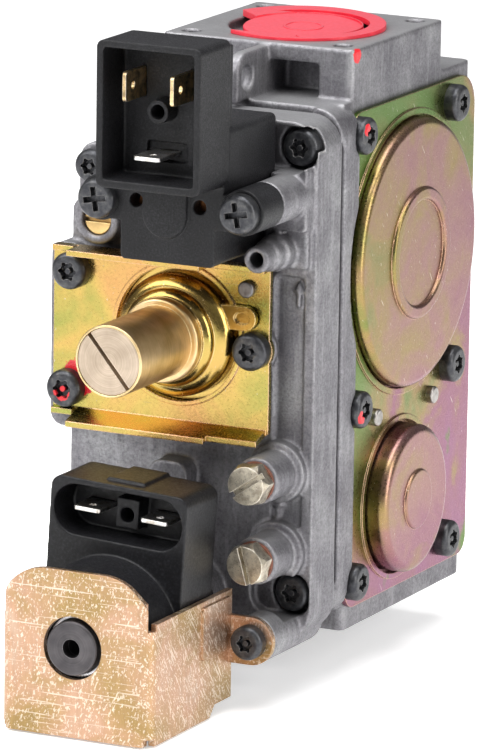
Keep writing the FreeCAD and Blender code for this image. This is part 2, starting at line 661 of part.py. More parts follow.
def valve_stem(y, z, radius):
    rod = bar_x(radius, y, z, -11.5, 22.4)
    collar = bar_x(radius + 1.4, y, z, -6.0, -4.8)
    return joined([rod, collar])


def valve_disc(y, z, radius, stem):
    return tube_x(radius, stem + SNUG, y, z, -9.6, -7.55)


def valve_seal(y, z, radius, stem):
    return tube_x(radius, stem + SNUG, y, z, -7.5, VALVE_WALL_LEFT - SNUG)


def closing_spring(y, z, coil_radius):
    length = -9.65 - CHAMBER_LEFT - 0.05
    return placed(spring(coil_radius, 0.55, 5, length), SIDEWAYS, V(CHAMBER_LEFT + 0.03, y, z))


def inlet_filter():
    disc = bar_z(FILTER_SEAT_RADIUS - RUNNING, 0, 0, FILTER_SEAT_TOP - 1.0, FILTER_SEAT_TOP - SNUG)
    holes = []
    pitch = 2.9
    for i in range(-4, 5):
        for j in range(-4, 5):
            x = pitch * (i + 0.5 * j)
            y = pitch * j * math.sqrt(3) / 2
            if math.hypot(x, y) < 9.6:
                holes.append(bar_z(1.05, x, y, 0, 10))
    return disc.cut(Part.makeCompound(holes))


def leaning(shape, height, lean):
    """Leans a level shape about the axis of the outlet, lowest at its front right."""
    shape.translate(V(0, 0, height))
    shape.rotate(V(0, 0, height), CAP_LEAN_AXIS, lean)
    return shape


def outlet_cap():
    """A soft plug for the outlet, pressed in a little askew, with a pull ring that starts at its left."""
    face = HEIGHT + 0.03
    skirt = bar_z(OUTLET_BORE_RADIUS - RUNNING, 0, 0, HEIGHT - 10, HEIGHT - 0.3)
    skirt = skirt.cut(bar_z(OUTLET_BORE_RADIUS - 1.5, 0, 0, HEIGHT - 11, HEIGHT - 1.5))
    x, y, radius = CAP_DISC
    disc = bar_z(radius, x, y, -1.9, 0)
    disc = softened(disc, V(0, 0, 0), UPWARD, 0.3)
    mark = bar_z(CAP_MARK_RADIUS, x, y, -1, 0.18).cut(bar_z(CAP_MARK_RADIUS - 0.5, x, y, -2, 1))
    disc = leaning(disc.fuse(mark), CAP_DISC_HEIGHT, CAP_DISC_LEAN)
    outside = bar_z(40, 0, 0, HEIGHT - 10, face).cut(bar_z(RECESS_RADIUS - RUNNING, 0, 0, 0, 200))
    disc = disc.cut(outside)
    x, y, radius = CAP_RING
    ring = bar_z(radius, x, y, -4, 0)
    left, front = CAP_OPENING_LEFT, CAP_OPENING_FRONT
    ends = [V(left, CAP_OPENING_BACK, -5), V(CAP_OPENING_RIGHT, front, -5), V(left, front, -5)]
    ends.append(ends[0])
    ring = ring.cut(Part.Face(Part.makePolygon(ends)).extrude(V(0, 0, 10)))
    ring = ring.cut(block(-30, left, -30, CAP_OPENING_BACK, -5, 5))
    x, y, radius = CAP_SLOT
    slot = bar_z(radius, x, y, -5, 1)
    x, y, radius = CAP_DISC
    slot = slot.cut(bar_z(radius - 0.1, x, y, -6, 2)).cut(block(*CAP_BRIDGE, -6, 2))
    ring = leaning(ring.cut(slot), CAP_RING_HEIGHT, CAP_RING_LEAN)
    ring = ring.cut(block(-40, 40, -40, 40, HEIGHT - 20, face))
    within = leaning(bar_z(radius - 0.4, x, y, -8, 8), CAP_DISC_HEIGHT, CAP_DISC_LEAN)
    return joined([skirt, disc, ring.cut(within)])


# ---------------------------------------------------------------- regulator


def lip_top(x0, x1, reach):
    return block(x0, x1, PLATE_FACE - reach, PLATE_FACE + PLATE, PLATE_TOP - PLATE, PLATE_TOP)


def lip_foot(x0, x1, reach, drop):
    """A forward lip along the bottom edge that slopes down by drop."""
    back = PLATE_FACE + PLATE
    z = PLATE_FOOT
    points = [
        V(x0, back, z),
        V(x0, back, z + PLATE),
        V(x0, PLATE_FACE, z + PLATE),
        V(x0, PLATE_FACE - reach, z + PLATE - drop),
        V(x0, PLATE_FACE - reach, z - drop),
        V(x0, PLATE_FACE, z),
    ]
    points.append(points[0])
    return Part.Face(Part.makePolygon(points)).extrude(V(x1 - x0, 0, 0))


def regulator_plate():
    back = PLATE_FACE + PLATE
    sheet = slab_y(PLATE_LEFT, PLATE_RIGHT, PLATE_FOOT, PLATE_TOP, back, PLATE_FACE, 0.8)
    x, z = REGULATOR_SCREWS[2]
    pieces = [
        sheet,
        bar_y(4.3, x, z, back, PLATE_FACE),
        lip_top(PLATE_LEFT + 0.4, -29.0, 1.6),
        lip_top(-28.4, 3.0, 6.0),
        lip_top(3.0, PLATE_RIGHT - 0.6, 1.8),
        lip_foot(PLATE_LEFT + 0.4, -29.0, 1.8, 0.3),
        lip_foot(-28.4, 4.5, 5.8, 2.0),
        lip_foot(4.5, PLATE_RIGHT - 0.6, 4.6, 1.6),
        tube_y(REGULATOR_HOLE + 0.9, REGULATOR_HOLE, REGULATOR_X, REGULATOR_Z, back, PLATE_FACE - REGULATOR_RING),
    ]
    shape = joined(pieces)
    cuts = [bar_y(REGULATOR_HOLE, REGULATOR_X, REGULATOR_Z, 0, -60)]
    for x, z in REGULATOR_SCREWS:
        cuts.append(bar_y(SHANK + 0.15, x, z, 0, -60))
        cuts.append(bar_y(SCREW_HEAD + 0.1, x, z, PLATE_FACE, -60))
    x, z = REGULATOR_PIN
    cuts.append(bar_y(1.5 + SNUG, x, z, 0, -60))
    return shape.cut(Part.makeCompound(cuts))


def regulator_cup():
    """Pressed cup that holds the sleeve, with an anti-turn tongue over the plate."""
    x = REGULATOR_X
    z = REGULATOR_Z
    flange = bar_y(CUP_FLANGE, x, z, BOSS_FACE + 1.6, BOSS_FACE + 0.6)
    shoulder = softened(bar_y(13.4, x, z, BOSS_FACE + 1.6, -53.0), V(x, -53.0, z), FORWARD, 3.2)
    nose = softened(bar_y(10.6, x, z, -52.0, -55.4), V(x, -55.4, z), FORWARD, 2.0)
    neck = bar_y(9.2, x, z, -54.0, -56.0)
    over = PLATE_FACE - REGULATOR_RING - 0.05
    tongue = slab_y(x + 9.0, x + 19.0, z + 2.6, z + 7.8, over, over - 1.2, 2.5)
    groove = slab_y(x + 14.0, x + 17.5, z + 4.0, z + 6.4, over - 0.5, over - 2, 1.15)
    shape = joined([flange, shoulder, nose, neck, tongue])
    hollow = [
        softened(bar_y(12.3, x, z, BOSS_FACE + 2, -51.9), V(x, -51.9, z), FORWARD, 2.2),
        bar_y(9.0, x, z, -51.0, -54.4),
        bar_y(ADJUSTER_RADIUS + 0.1, x, z, -53.0, -57.0),
        groove,
    ]
    return shape.cut(Part.makeCompound(hollow))


def regulator_sleeve():
    x = REGULATOR_X
    z = REGULATOR_Z
    collar = softened(bar_y(9.1, x, z, -56.02, SLEEVE_BACK - 0.8), V(x, SLEEVE_BACK - 0.8, z), FORWARD, 0.6)
    tube = softened(bar_y(SLEEVE_RADIUS, x, z, -56.02, SLEEVE_FRONT), V(x, SLEEVE_FRONT, z), FORWARD, 0.3)
    return joined([collar, tube]).cut(bar_y(ADJUSTER_RADIUS + RUNNING, x, z, -50, -90))


def adjusting_screw():
    """Slotted plug that turns in the sleeve and presses on the spring seat."""
    x = REGULATOR_X
    z = REGULATOR_Z
    plug = bar_y(ADJUSTER_RADIUS, x, z, -72.0, SLEEVE_FRONT + 0.1)
    plug = softened(plug, V(x, SLEEVE_FRONT + 0.1, z), FORWARD, 0.2)
    slot = block(-9, 9, -0.45, 0.45, -1, 1.6)
    slot = placed(slot, V(0, 1, 0), V(x, SLEEVE_FRONT + 0.1, z))
    slot.rotate(V(x, 0, z), V(0, 1, 0), 50)
    return plug.cut(slot)


def spring_seat():
    x = REGULATOR_X
    z = REGULATOR_Z
    disc = bar_y(6.9, x, z, -69.6, -72.0 + SNUG)
    return joined([disc, bar_y(2.4, x, z, -66.5, -69.6)])


def regulator_diaphragm():
    x = REGULATOR_X
    z = REGULATOR_Z
    return bar_y(15.2, x, z, COVER_FACE - SNUG, COVER_FACE - 1.1)


def regulator_piston():
    """Plate that the regulator spring presses against the diaphragm."""
    x = REGULATOR_X
    z = REGULATOR_Z
    plate = bar_y(9.0, x, z, COVER_FACE - 1.15, COVER_FACE - 2.1)
    return joined([plate, bar_y(2.6, x, z, COVER_FACE - 2, COVER_FACE - 6)])


# ---------------------------------------------------------------- upper coil


def pilot_housing():
    body = block(PILOT_LEFT, PILOT_RIGHT, PILOT_FACE, PILOT_BACK, SOCKET_FOOT - 2, 116.8)
    body = rounded(body, V(0, 1, 0), 1.2)
    lower = slab_y(PILOT_LEFT, 13.9, 87.5, SOCKET_FOOT + 3, PILOT_BACK, PILOT_FACE, 1.0)
    shell = block(SOCKET_LEFT, SOCKET_RIGHT, SOCKET_FACE, PILOT_FACE + 2, SOCKET_FOOT, SOCKET_TOP)
    shell = rounded(shell, V(0, 1, 0), 1.6)
    neck = block(SOCKET_LEFT + 1, SOCKET_RIGHT - 1, PILOT_FACE, PILOT_FACE + 5, SOCKET_FOOT, SOCKET_TOP - 1.5)
    tab = bar_y(5.1, 2.8, 98.0, PILOT_FACE + 1, PILOT_FACE - 0.9)
    tab = tab.fuse(block(-2.3, 7.9, PILOT_FACE - 0.9, PILOT_FACE + 1, 98.0, SOCKET_FOOT + 1))
    pieces = [body, lower, shell, neck, tab]
    for i, (x, z) in enumerate(PILOT_SCREWS):
        pieces.append(bar_y(4.9, x, z, -60.05, PILOT_FACE))
        inner = x + 4.9 if i == 0 else PILOT_RIGHT - 3
        outer = PILOT_LEFT + 1 if i == 0 else x - 3
        pieces.append(block(min(inner, outer) - 3, max(inner, outer), PILOT_FACE, -60.05, z - 4.4, z + 3.0))
    shape = joined(pieces)
    floor = -72.2
    cavity = slab_y(
        SOCKET_LEFT + 1.5, SOCKET_RIGHT - 1.5, SOCKET_FOOT + 1.7, SOCKET_TOP - 1.5, floor, SOCKET_FACE - 1, 0.8
    )
    tube = bar_y(2.5, PILOT_X, 120.6, floor + 1, -76.8)
    cavity = cavity.cut(tube)
    cuts = [cavity, bar_y(1.55, PILOT_X, 120.6, floor + 3, -80)]
    cuts.append(slab_y(PILOT_X - 4.6, PILOT_X + 4.6, 109.4, 113.6, floor + 1.2, floor - 1, 0.6))
    for x, z in PILOT_SCREWS:
        cuts.append(bar_y(2.0, x, z, -59, PILOT_FACE - 1))
    cuts.append(bar_y(1.5, -4.2, 100.2, PILOT_FACE + 4, PILOT_FACE - 2))
    cuts.append(bar_y(1.5, 10.6, 100.1, PILOT_FACE + 4, PILOT_FACE - 2))
    cuts.append(bar_y(9.6, PILOT_X, PILOT_Z, PILOT_BACK + 1, -66.5))
    for x in (PILOT_X - 5.5, PILOT_X + 5.5):
        cuts.append(blade_slot(x, 126.0, floor + 3.2, True))
    cuts.append(blade_slot(PILOT_X - 0.6, 111.3, floor + 3.2, False))
    return shape.cut(Part.makeCompound(cuts))


def blade_slot(x, z, back, upright):
    """Clearance in the moulding around one blade terminal."""
    half = BLADE / 2 + SNUG
    thin = BLADE_THICKNESS / 2 + SNUG
    dx, dz = (thin, half) if upright else (half, thin)
    return block(x - dx, x + dx, SOCKET_FACE - 2, back, z - dz, z + dz)


def blade(x, z, back, tip, upright):
    """A 6.3 x 0.8 mm push-on terminal with rounded tip corners and a latch hole."""
    half = BLADE / 2
    thin = BLADE_THICKNESS / 2
    flat = block(-half, half, tip, back, -thin, thin)
    corners = [
        e
        for e in flat.Edges
        if abs(e.CenterOfMass.y - tip) < 1e-6 and abs(abs(e.CenterOfMass.x) - half) < 1e-6
    ]
    flat = flat.makeFillet(0.9, corners)
    flat = flat.cut(bar_z(0.85, 0, tip + 3.2, -2, 2))
    if upright:
        flat.rotate(V(0, 0, 0), V(0, 1, 0), 90)
    flat.translate(V(x, 0, z))
    return flat


def pilot_line_terminals():
    return [blade(x, 126.0, -69.2, -81.2, True) for x in (PILOT_X - 5.5, PILOT_X + 5.5)]


def pilot_earth_terminal():
    return blade(PILOT_X - 0.6, 111.3, -69.2, -80.6, False)


def pilot_screws():
    return [
        placed(cross_screw(4.2, 2.9, 1.75, 19.0), FORWARD, V(x, PILOT_FACE - SNUG, z))
        for x, z in PILOT_SCREWS
    ]


def pilot_winding():
    return tube_y(9.5, 5.4, PILOT_X, PILOT_Z, -46.5, -66.3)


def pilot_core_tube():
    wall = 0.5
    tube = bar_y(5.2, PILOT_X, PILOT_Z, COVER_FACE - SNUG, -66.0)
    return tube.cut(bar_y(5.2 - wall, PILOT_X, PILOT_Z, COVER_FACE + 1, -65.4))


def pilot_fixed_core():
    return bar_y(4.65, PILOT_X, PILOT_Z, -58.0, -65.35)


def pilot_plunger():
    """Steel plunger whose rubber tip shuts the pilot orifice in the cover."""
    rod = bar_y(4.6, PILOT_X, PILOT_Z, -46.6, -57.0)
    return rod.cut(bar_y(2.2, PILOT_X, PILOT_Z, -52.0, -58.0))


def pilot_tip():
    return bar_y(2.6, PILOT_X, PILOT_Z, COVER_FACE - SNUG, -46.58)


def pilot_spring():
    return placed(spring(1.75, 0.25, 5, 5.9), FORWARD, V(PILOT_X, -52.05, PILOT_Z))


# ---------------------------------------------------------------- lower coil


def about_coil(shape):
    """Turns a piece of the lower coil to its slightly clockwise rest on the core."""
    shape.rotate(V(COIL_X, 0, COIL_Z), V(0, 1, 0), COIL_TILT)
    return shape


def coil_housing():
    drum = bar_y(COIL_RADIUS, COIL_X, COIL_Z, COIL_BACK, COIL_FRONT)
    drum = softened(drum, V(COIL_X, COIL_FRONT, COIL_Z), FORWARD, 2.2)
    half = COIL_RADIUS
    tower = block(COIL_X - half, COIL_X + half, PLUG_FACE, PLUG_BACK, COIL_Z, 40.8)
    tower = rounded(tower, V(0, 1, 0), 2.6)
    skirt = block(COIL_X - half, COIL_X + half, PLUG_FACE + 0.8, PLUG_BACK - 0.6, COIL_Z, 26)
    key = slab_y(COIL_X - 4.5, COIL_X + 4.5, 39, 41.5, PLUG_BACK, PLUG_FACE + 3, 0.6)
    shape = joined([drum, tower, skirt, key])
    floor = PLUG_FACE + 9.0
    opening = slab_y(COIL_X - 15.1, COIL_X + 15.1, 28.6, 39.5, floor, PLUG_FACE - 1, 5.4)
    post = block(COIL_X - 2.6, COIL_X + 2.6, PLUG_FACE + 4.5, floor + 1, 30.7, 37.1)
    opening = opening.cut(post)
    cuts = [opening, bar_y(1.6, COIL_X, 33.6, floor + 2, PLUG_FACE - 1)]
    for x in (COIL_X - 7.9, COIL_X + 7.9):
        cuts.append(flat_slot(x, 34.2, floor + 3.2))
    cuts.append(bar_y(12.9, COIL_X, COIL_Z, -61.5, -91.5))
    cuts.append(bar_y(6.75, COIL_X, COIL_Z, -50, -100))
    return about_coil(shape.cut(Part.makeCompound(cuts)))


def flat_slot(x, z, back):
    half = BLADE / 2 + SNUG
    thin = BLADE_THICKNESS / 2 + SNUG
    return block(x - half, x + half, PLUG_FACE - 2, back, z - thin, z + thin)


def coil_terminals():
    blades = []
    for x in (COIL_X - 7.9, COIL_X + 7.9):
        blades.append(about_coil(blade(x, 34.2, PLUG_FACE + 12.1, PLUG_FACE + 0.9, False)))
    return blades


def coil_winding():
    return tube_y(12.8, 6.9, COIL_X, COIL_Z, -61.7, -91.3)


def coil_bracket():
    """U-shaped steel yoke with an arched front, two sides and two screw ears."""
    left = BRACKET_X - BRACKET_HALF
    right = BRACKET_X + BRACKET_HALF
    rear = EAR_FACE + BRACKET
    front_edges = BRACKET_FACE + BRACKET / 2
    outer = block(left, right, BRACKET_FACE, rear, BRACKET_FOOT, BRACKET_TOP)
    outer = outer.makeFillet(3.3, upright_edges(outer, front_edges))
    inner = block(left + BRACKET, right - BRACKET, BRACKET_FACE + BRACKET, rear + 1, -30, 40)
    inner = inner.makeFillet(2.0, upright_edges(inner, front_edges + BRACKET))
    channel = outer.cut(inner).common(bracket_silhouette())
    shape = joined([channel] + bracket_ear(-1) + bracket_ear(1))
    cuts = [bar_y(6.75, COIL_X, COIL_Z, -50, -100)]
    for side in (-1, 1):
        cuts.append(bar_y(SHANK + 0.15, BRACKET_X + side * EAR_X, EAR_Z, -50, -70))
        x = BRACKET_X + side * BRACKET_HALF
        cuts.append(block(x - 1.6, x + 1.6, BRACKET_FACE - 1, BRACKET_FACE + 2.6, BRACKET_FOOT - 1, BRACKET_FOOT + 1.5))
        cuts.append(block(x - 1.6, x + 1.6, BRACKET_FACE + 1.0, BRACKET_FACE + 3.0, BRACKET_SIDE_TOP - 1.4, 30))
    return shape.cut(Part.makeCompound(cuts))


def upright_edges(shape, behind):
    """The vertical edges of a block that lie in front of the plane y = behind."""
    return [
        e for e in shape.Edges if abs(e.tangentAt(e.FirstParameter).z) > 0.99 and e.CenterOfMass.y < behind
    ]


def bracket_silhouette():
    """Everything the bent sheet keeps: the arched front and the lower, stepped sides."""
    half = BRACKET_HALF
    arch = block(BRACKET_X - half, BRACKET_X + half, BRACKET_FACE - 1, BRACKET_FACE + 2.4, BRACKET_FOOT, BRACKET_TOP)
    top = [
        e
        for e in arch.Edges
        if abs(e.CenterOfMass.z - BRACKET_TOP) < 1e-6 and abs(abs(e.CenterOfMass.x - BRACKET_X) - half) < 1e-6
    ]
    arch = arch.makeFillet(11.0, top)
    step = BRACKET_FOOT + 2.4
    rear = EAR_FACE + BRACKET
    points = [
        V(BRACKET_X - half, BRACKET_FACE, BRACKET_FOOT),
        V(BRACKET_X - half, -67.0, BRACKET_FOOT),
        V(BRACKET_X - half, -64.6, step),
        V(BRACKET_X - half, rear, step),
        V(BRACKET_X - half, rear, BRACKET_SIDE_TOP),
        V(BRACKET_X - half, BRACKET_FACE, BRACKET_SIDE_TOP),
    ]
    points.append(points[0])
    sides = Part.Face(Part.makePolygon(points)).extrude(V(2 * half, 0, 0))
    return arch.fuse(sides)


def bracket_ear(side):
    """The ear for one screw, and the pressed pad beside it."""
    outside = BRACKET_X + side * BRACKET_HALF
    rear = EAR_FACE + BRACKET
    ear_x = BRACKET_X + side * EAR_X
    ear = bar_y(5.2, ear_x, EAR_Z, rear, EAR_FACE)
    inside = outside - side * BRACKET
    strip = block(min(inside, ear_x), max(inside, ear_x), EAR_FACE, rear, EAR_Z - 5.2, EAR_Z + 5.2)
    pad_inner = outside - side * 0.3
    pad_outer = outside + side * 0.5
    pad = block(min(pad_inner, pad_outer), max(pad_inner, pad_outer), -71.5, EAR_FACE + 0.3, 3.5, 15.0)
    pad = rounded(pad, SIDEWAYS, 1.0)
    return [ear, strip, pad]


def bracket_screws():
    return [
        placed(lobe_screw(3.7, 2.8, SHANK, 14.5), FORWARD, V(BRACKET_X + side * EAR_X, EAR_FACE - SNUG, EAR_Z))
        for side in (-1, 1)
    ]


def coil_core_tube():
    base = bar_y(7.45, COIL_X, COIL_Z, -50.0, -58.0)
    tube = bar_y(6.6, COIL_X, COIL_Z, -50.0, -92.8)
    bore = bar_y(6.05, COIL_X, COIL_Z, -49.0, -93.5)
    return joined([base, tube]).cut(bore)


def coil_fixed_core():
    """Stationary core: its head shows through the bracket, with a round key hole."""
    core = bar_y(6.0, COIL_X, COIL_Z, -80.0, -92.9)
    head = softened(bar_y(5.85, COIL_X, COIL_Z, -93.0, -95.6), V(COIL_X, -95.6, COIL_Z), FORWARD, 0.5)
    shape = joined([core, head])
    return shape.cut(bar_y(2.0, COIL_X, COIL_Z, -89.0, -97.0))


def coil_plunger():
    rod = bar_y(6.0, COIL_X, COIL_Z, -52.0, -77.6)
    stem = bar_y(2.4, COIL_X, COIL_Z, -41.0, -52.0)
    return joined([rod, stem]).cut(bar_y(3.3, COIL_X, COIL_Z, -68.0, -78.0))


def coil_valve_disc():
    return tube_y(6.2, 2.4 + SNUG, COIL_X, COIL_Z, -40.0, -42.0)


def coil_disc_seal():
    return bar_y(5.2, COIL_X, COIL_Z, -38.0 - SNUG, -39.95)


def coil_spring():
    return placed(spring(2.6, 0.35, 7, 11.9), FORWARD, V(COIL_X, -68.05, COIL_Z))


# ---------------------------------------------------------------- small turning parts


def test_screw(z, slot_angle):
    """Slotted hexagon screw that closes a test point, its slot turned up from level by slot_angle."""
    head = hexagon(TEST_HEX, 0, 4.0)
    dome = Part.makeCone(TEST_HEX * 0.66, TEST_HEX * 0.46, 5.0, V(0, 0, 0), UPWARD)
    head = head.common(dome)
    head = head.cut(block(-8, 8, -0.6, 0.6, 2.4, 6))
    screw = joined([head, bar_z(2.9, 0, 0, -10.5, 0)])
    screw.rotate(V(0, 0, 0), UPWARD, slot_angle)
    return placed(screw, FORWARD, V(TEST_X, TEST_BARREL_FRONT - 0.85, z))


def test_washer(z):
    return tube_y(4.4, 2.9 + RUNNING, TEST_X, z, TEST_BARREL_FRONT - SNUG, TEST_BARREL_FRONT - 0.83)


def throttle_screw():
    screw = bar_z(3.3, 0, 0, -5.0, 1.0)
    screw = softened(screw, V(0, 0, 1.0), UPWARD, 0.5)
    screw = screw.cut(block(-4, 4, -0.5, 0.5, -0.4, 2))
    return placed(screw, FORWARD, V(THROTTLE_X, -48.2, THROTTLE_Z))


def regulator_screws():
    return [
        placed(lobe_screw(SCREW_HEAD, SCREW_HEAD_HEIGHT, SHANK, 9.0), FORWARD, V(x, PLATE_FACE - SNUG, z))
        for x, z in REGULATOR_SCREWS
    ]


def regulator_spring():
    return placed(spring(4.2, 0.5, 7, 22.4), FORWARD, V(REGULATOR_X, COVER_FACE - 2.15, REGULATOR_Z))


def build():
    os.makedirs("parts", exist_ok=True)
    save("main_body", main_body())
    save("front_cover", front_cover())
    save("cover_gasket", cover_gasket())
    save("cover_screws", cover_screws())
    save("inlet_filter", inlet_filter())
    save("outlet_cap", outlet_cap())
    save("side_plate", side_plate())
    save("side_plate_screws", side_screws())
    save("side_plate_pins", side_pins())
    save("main_dome", main_dome())
    save("safety_dome", safety_dome())
    save("main_diaphragm", diaphragm(MAIN_Y, MAIN_Z, MAIN_RIM, 21.0))
    save("main_diaphragm_plates", diaphragm_plates(MAIN_Y, MAIN_Z, 21.0, MAIN_STEM))
    save("main_valve_stem", valve_stem(MAIN_Y, MAIN_Z, MAIN_STEM))
    save("main_valve_disc", valve_disc(MAIN_Y, MAIN_Z, 13.0, MAIN_STEM))
    save("main_valve_seal", valve_seal(MAIN_Y, MAIN_Z, 12.2, MAIN_STEM))
    save("main_closing_spring", closing_spring(MAIN_Y, MAIN_Z, 7.0))
    save("safety_diaphragm", diaphragm(SAFETY_Y, SAFETY_Z, SAFETY_RIM, 10.5))
    save("safety_diaphragm_plates", diaphragm_plates(SAFETY_Y, SAFETY_Z, 10.5, SAFETY_STEM))
    save("safety_valve_stem", valve_stem(SAFETY_Y, SAFETY_Z, SAFETY_STEM))
    save("safety_valve_disc", valve_disc(SAFETY_Y, SAFETY_Z, 9.2, SAFETY_STEM))
    save("safety_valve_seal", valve_seal(SAFETY_Y, SAFETY_Z, 8.6, SAFETY_STEM))
    save("safety_closing_spring", closing_spring(SAFETY_Y, SAFETY_Z, 5.0))
    save("regulator_plate", regulator_plate())
    save("regulator_plate_screws", regulator_screws())
    save("regulator_plate_pin", pin_y(REGULATOR_PIN[0], REGULATOR_PIN[1], PLATE_FACE - SNUG, 4.5))
    save("regulator_cup", regulator_cup())
    save("regulator_sleeve", regulator_sleeve())
    save("regulator_adjusting_screw", adjusting_screw())
    save("regulator_spring_seat", spring_seat())
    save("regulator_spring", regulator_spring())
    save("regulator_piston", regulator_piston())
    save("regulator_diaphragm", regulator_diaphragm())
    save("ev2_housing", pilot_housing())
    save("ev2_line_terminals", pilot_line_terminals())
    save("ev2_earth_terminal", pilot_earth_terminal())
    save("ev2_screws", pilot_screws())
    save("ev2_winding", pilot_winding())
    save("ev2_core_tube", pilot_core_tube())
    save("ev2_fixed_core", pilot_fixed_core())
    save("ev2_plunger", pilot_plunger())
    save("ev2_plunger_tip", pilot_tip())
    save("ev2_spring", pilot_spring())
    save("ev1_housing", coil_housing())
    save("ev1_terminals", coil_terminals())
    save("ev1_winding", coil_winding())
    save("ev1_bracket", coil_bracket())
    save("ev1_bracket_screws", bracket_screws())
    save("ev1_core_tube", coil_core_tube())
    save("ev1_fixed_core", coil_fixed_core())
    save("ev1_plunger", coil_plunger())
    save("ev1_valve_disc", coil_valve_disc())
    save("ev1_disc_seal", coil_disc_seal())
    save("ev1_spring", coil_spring())
    save("throttle_screw", throttle_screw())
    save("outlet_test_screw", test_screw(OUTLET_TEST_Z, OUTLET_SLOT))
    save("outlet_test_washer", test_washer(OUTLET_TEST_Z))
    save("inlet_test_screw", test_screw(INLET_TEST_Z, INLET_SLOT))
    save("inlet_test_washer", test_washer(INLET_TEST_Z))


build()
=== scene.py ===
import json
import math

import bpy
from mathutils import Matrix, Vector


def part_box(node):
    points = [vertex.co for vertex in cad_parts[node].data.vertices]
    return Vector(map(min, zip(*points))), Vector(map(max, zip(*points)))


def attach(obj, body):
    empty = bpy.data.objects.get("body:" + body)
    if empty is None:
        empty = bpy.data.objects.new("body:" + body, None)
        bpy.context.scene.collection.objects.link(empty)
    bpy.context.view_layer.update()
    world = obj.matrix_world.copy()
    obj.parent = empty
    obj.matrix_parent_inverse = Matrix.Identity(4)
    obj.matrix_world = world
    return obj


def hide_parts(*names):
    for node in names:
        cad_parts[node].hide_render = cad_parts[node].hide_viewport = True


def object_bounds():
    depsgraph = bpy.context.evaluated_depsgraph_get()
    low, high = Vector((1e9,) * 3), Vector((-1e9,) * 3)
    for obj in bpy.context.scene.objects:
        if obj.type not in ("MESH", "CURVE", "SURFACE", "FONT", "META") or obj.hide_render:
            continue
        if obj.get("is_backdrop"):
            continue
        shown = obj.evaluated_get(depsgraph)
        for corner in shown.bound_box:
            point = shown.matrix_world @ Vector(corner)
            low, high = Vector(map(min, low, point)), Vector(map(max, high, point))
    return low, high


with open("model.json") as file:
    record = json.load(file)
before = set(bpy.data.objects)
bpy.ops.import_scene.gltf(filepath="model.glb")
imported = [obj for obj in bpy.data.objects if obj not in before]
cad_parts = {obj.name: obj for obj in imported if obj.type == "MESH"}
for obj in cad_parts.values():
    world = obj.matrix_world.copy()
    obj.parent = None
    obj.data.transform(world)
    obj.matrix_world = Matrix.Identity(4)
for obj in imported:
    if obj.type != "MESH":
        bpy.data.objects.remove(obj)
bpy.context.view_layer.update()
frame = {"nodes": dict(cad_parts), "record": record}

# The gas valve in metres. Materials work in millimetres, which is how their sizes are written.
MM = 0.001
NODES = frame["nodes"]

# Camera: a long lens, turned towards the domed side and slightly above the valve
CAMERA_AZIMUTH = math.radians(26.33)
CAMERA_ELEVATION = math.radians(12.69)
CAMERA_ROLL = math.radians(0.875)
CAMERA_DISTANCE = 1.5364
CAMERA_LENS = 336.0
CAMERA_SENSOR = 36.0
CAMERA_TARGET = Vector((-16.14, 3.86, 47.14)) * MM
CAMERA_REACH = 20

# Cast and moulded pieces: voxel size and passes of smoothing round off the edges the way a die does
CASTING_VOXEL = 0.42 * MM
MOULDING_VOXEL = 0.22 * MM
COVER_VOXEL = 0.36 * MM
WELD_GAP = 0.002 * MM
CASTING_WAVE = 0.10 * MM
COVER_WAVE = 0.12 * MM
WAVE_SIZE = 5 * MM
MOST_FACES = 190000

# Sizes that the materials share, in millimetres: the rounding of edges, the reach of the painted shade in
# hollows and the depth of relief
CAST_EDGE = 0.55
SHEET_EDGE = 0.35
MOULDED_EDGE = 0.4
MACHINED_EDGE = 0.3
PLATED_EDGE = 0.25
PAINTED_SHADE_REACH = 7
CAST_RELIEF = 0.085
SHEET_RELIEF = 0.02

# The floor glows a little, which keeps it white under lights set low enough for the metals
FLOOR_GLOW = 0.42
FLOOR_HALF = 3.0
FLOOR_GAP = 0.5 * MM


# ------------------------------------------------------------------ node helpers


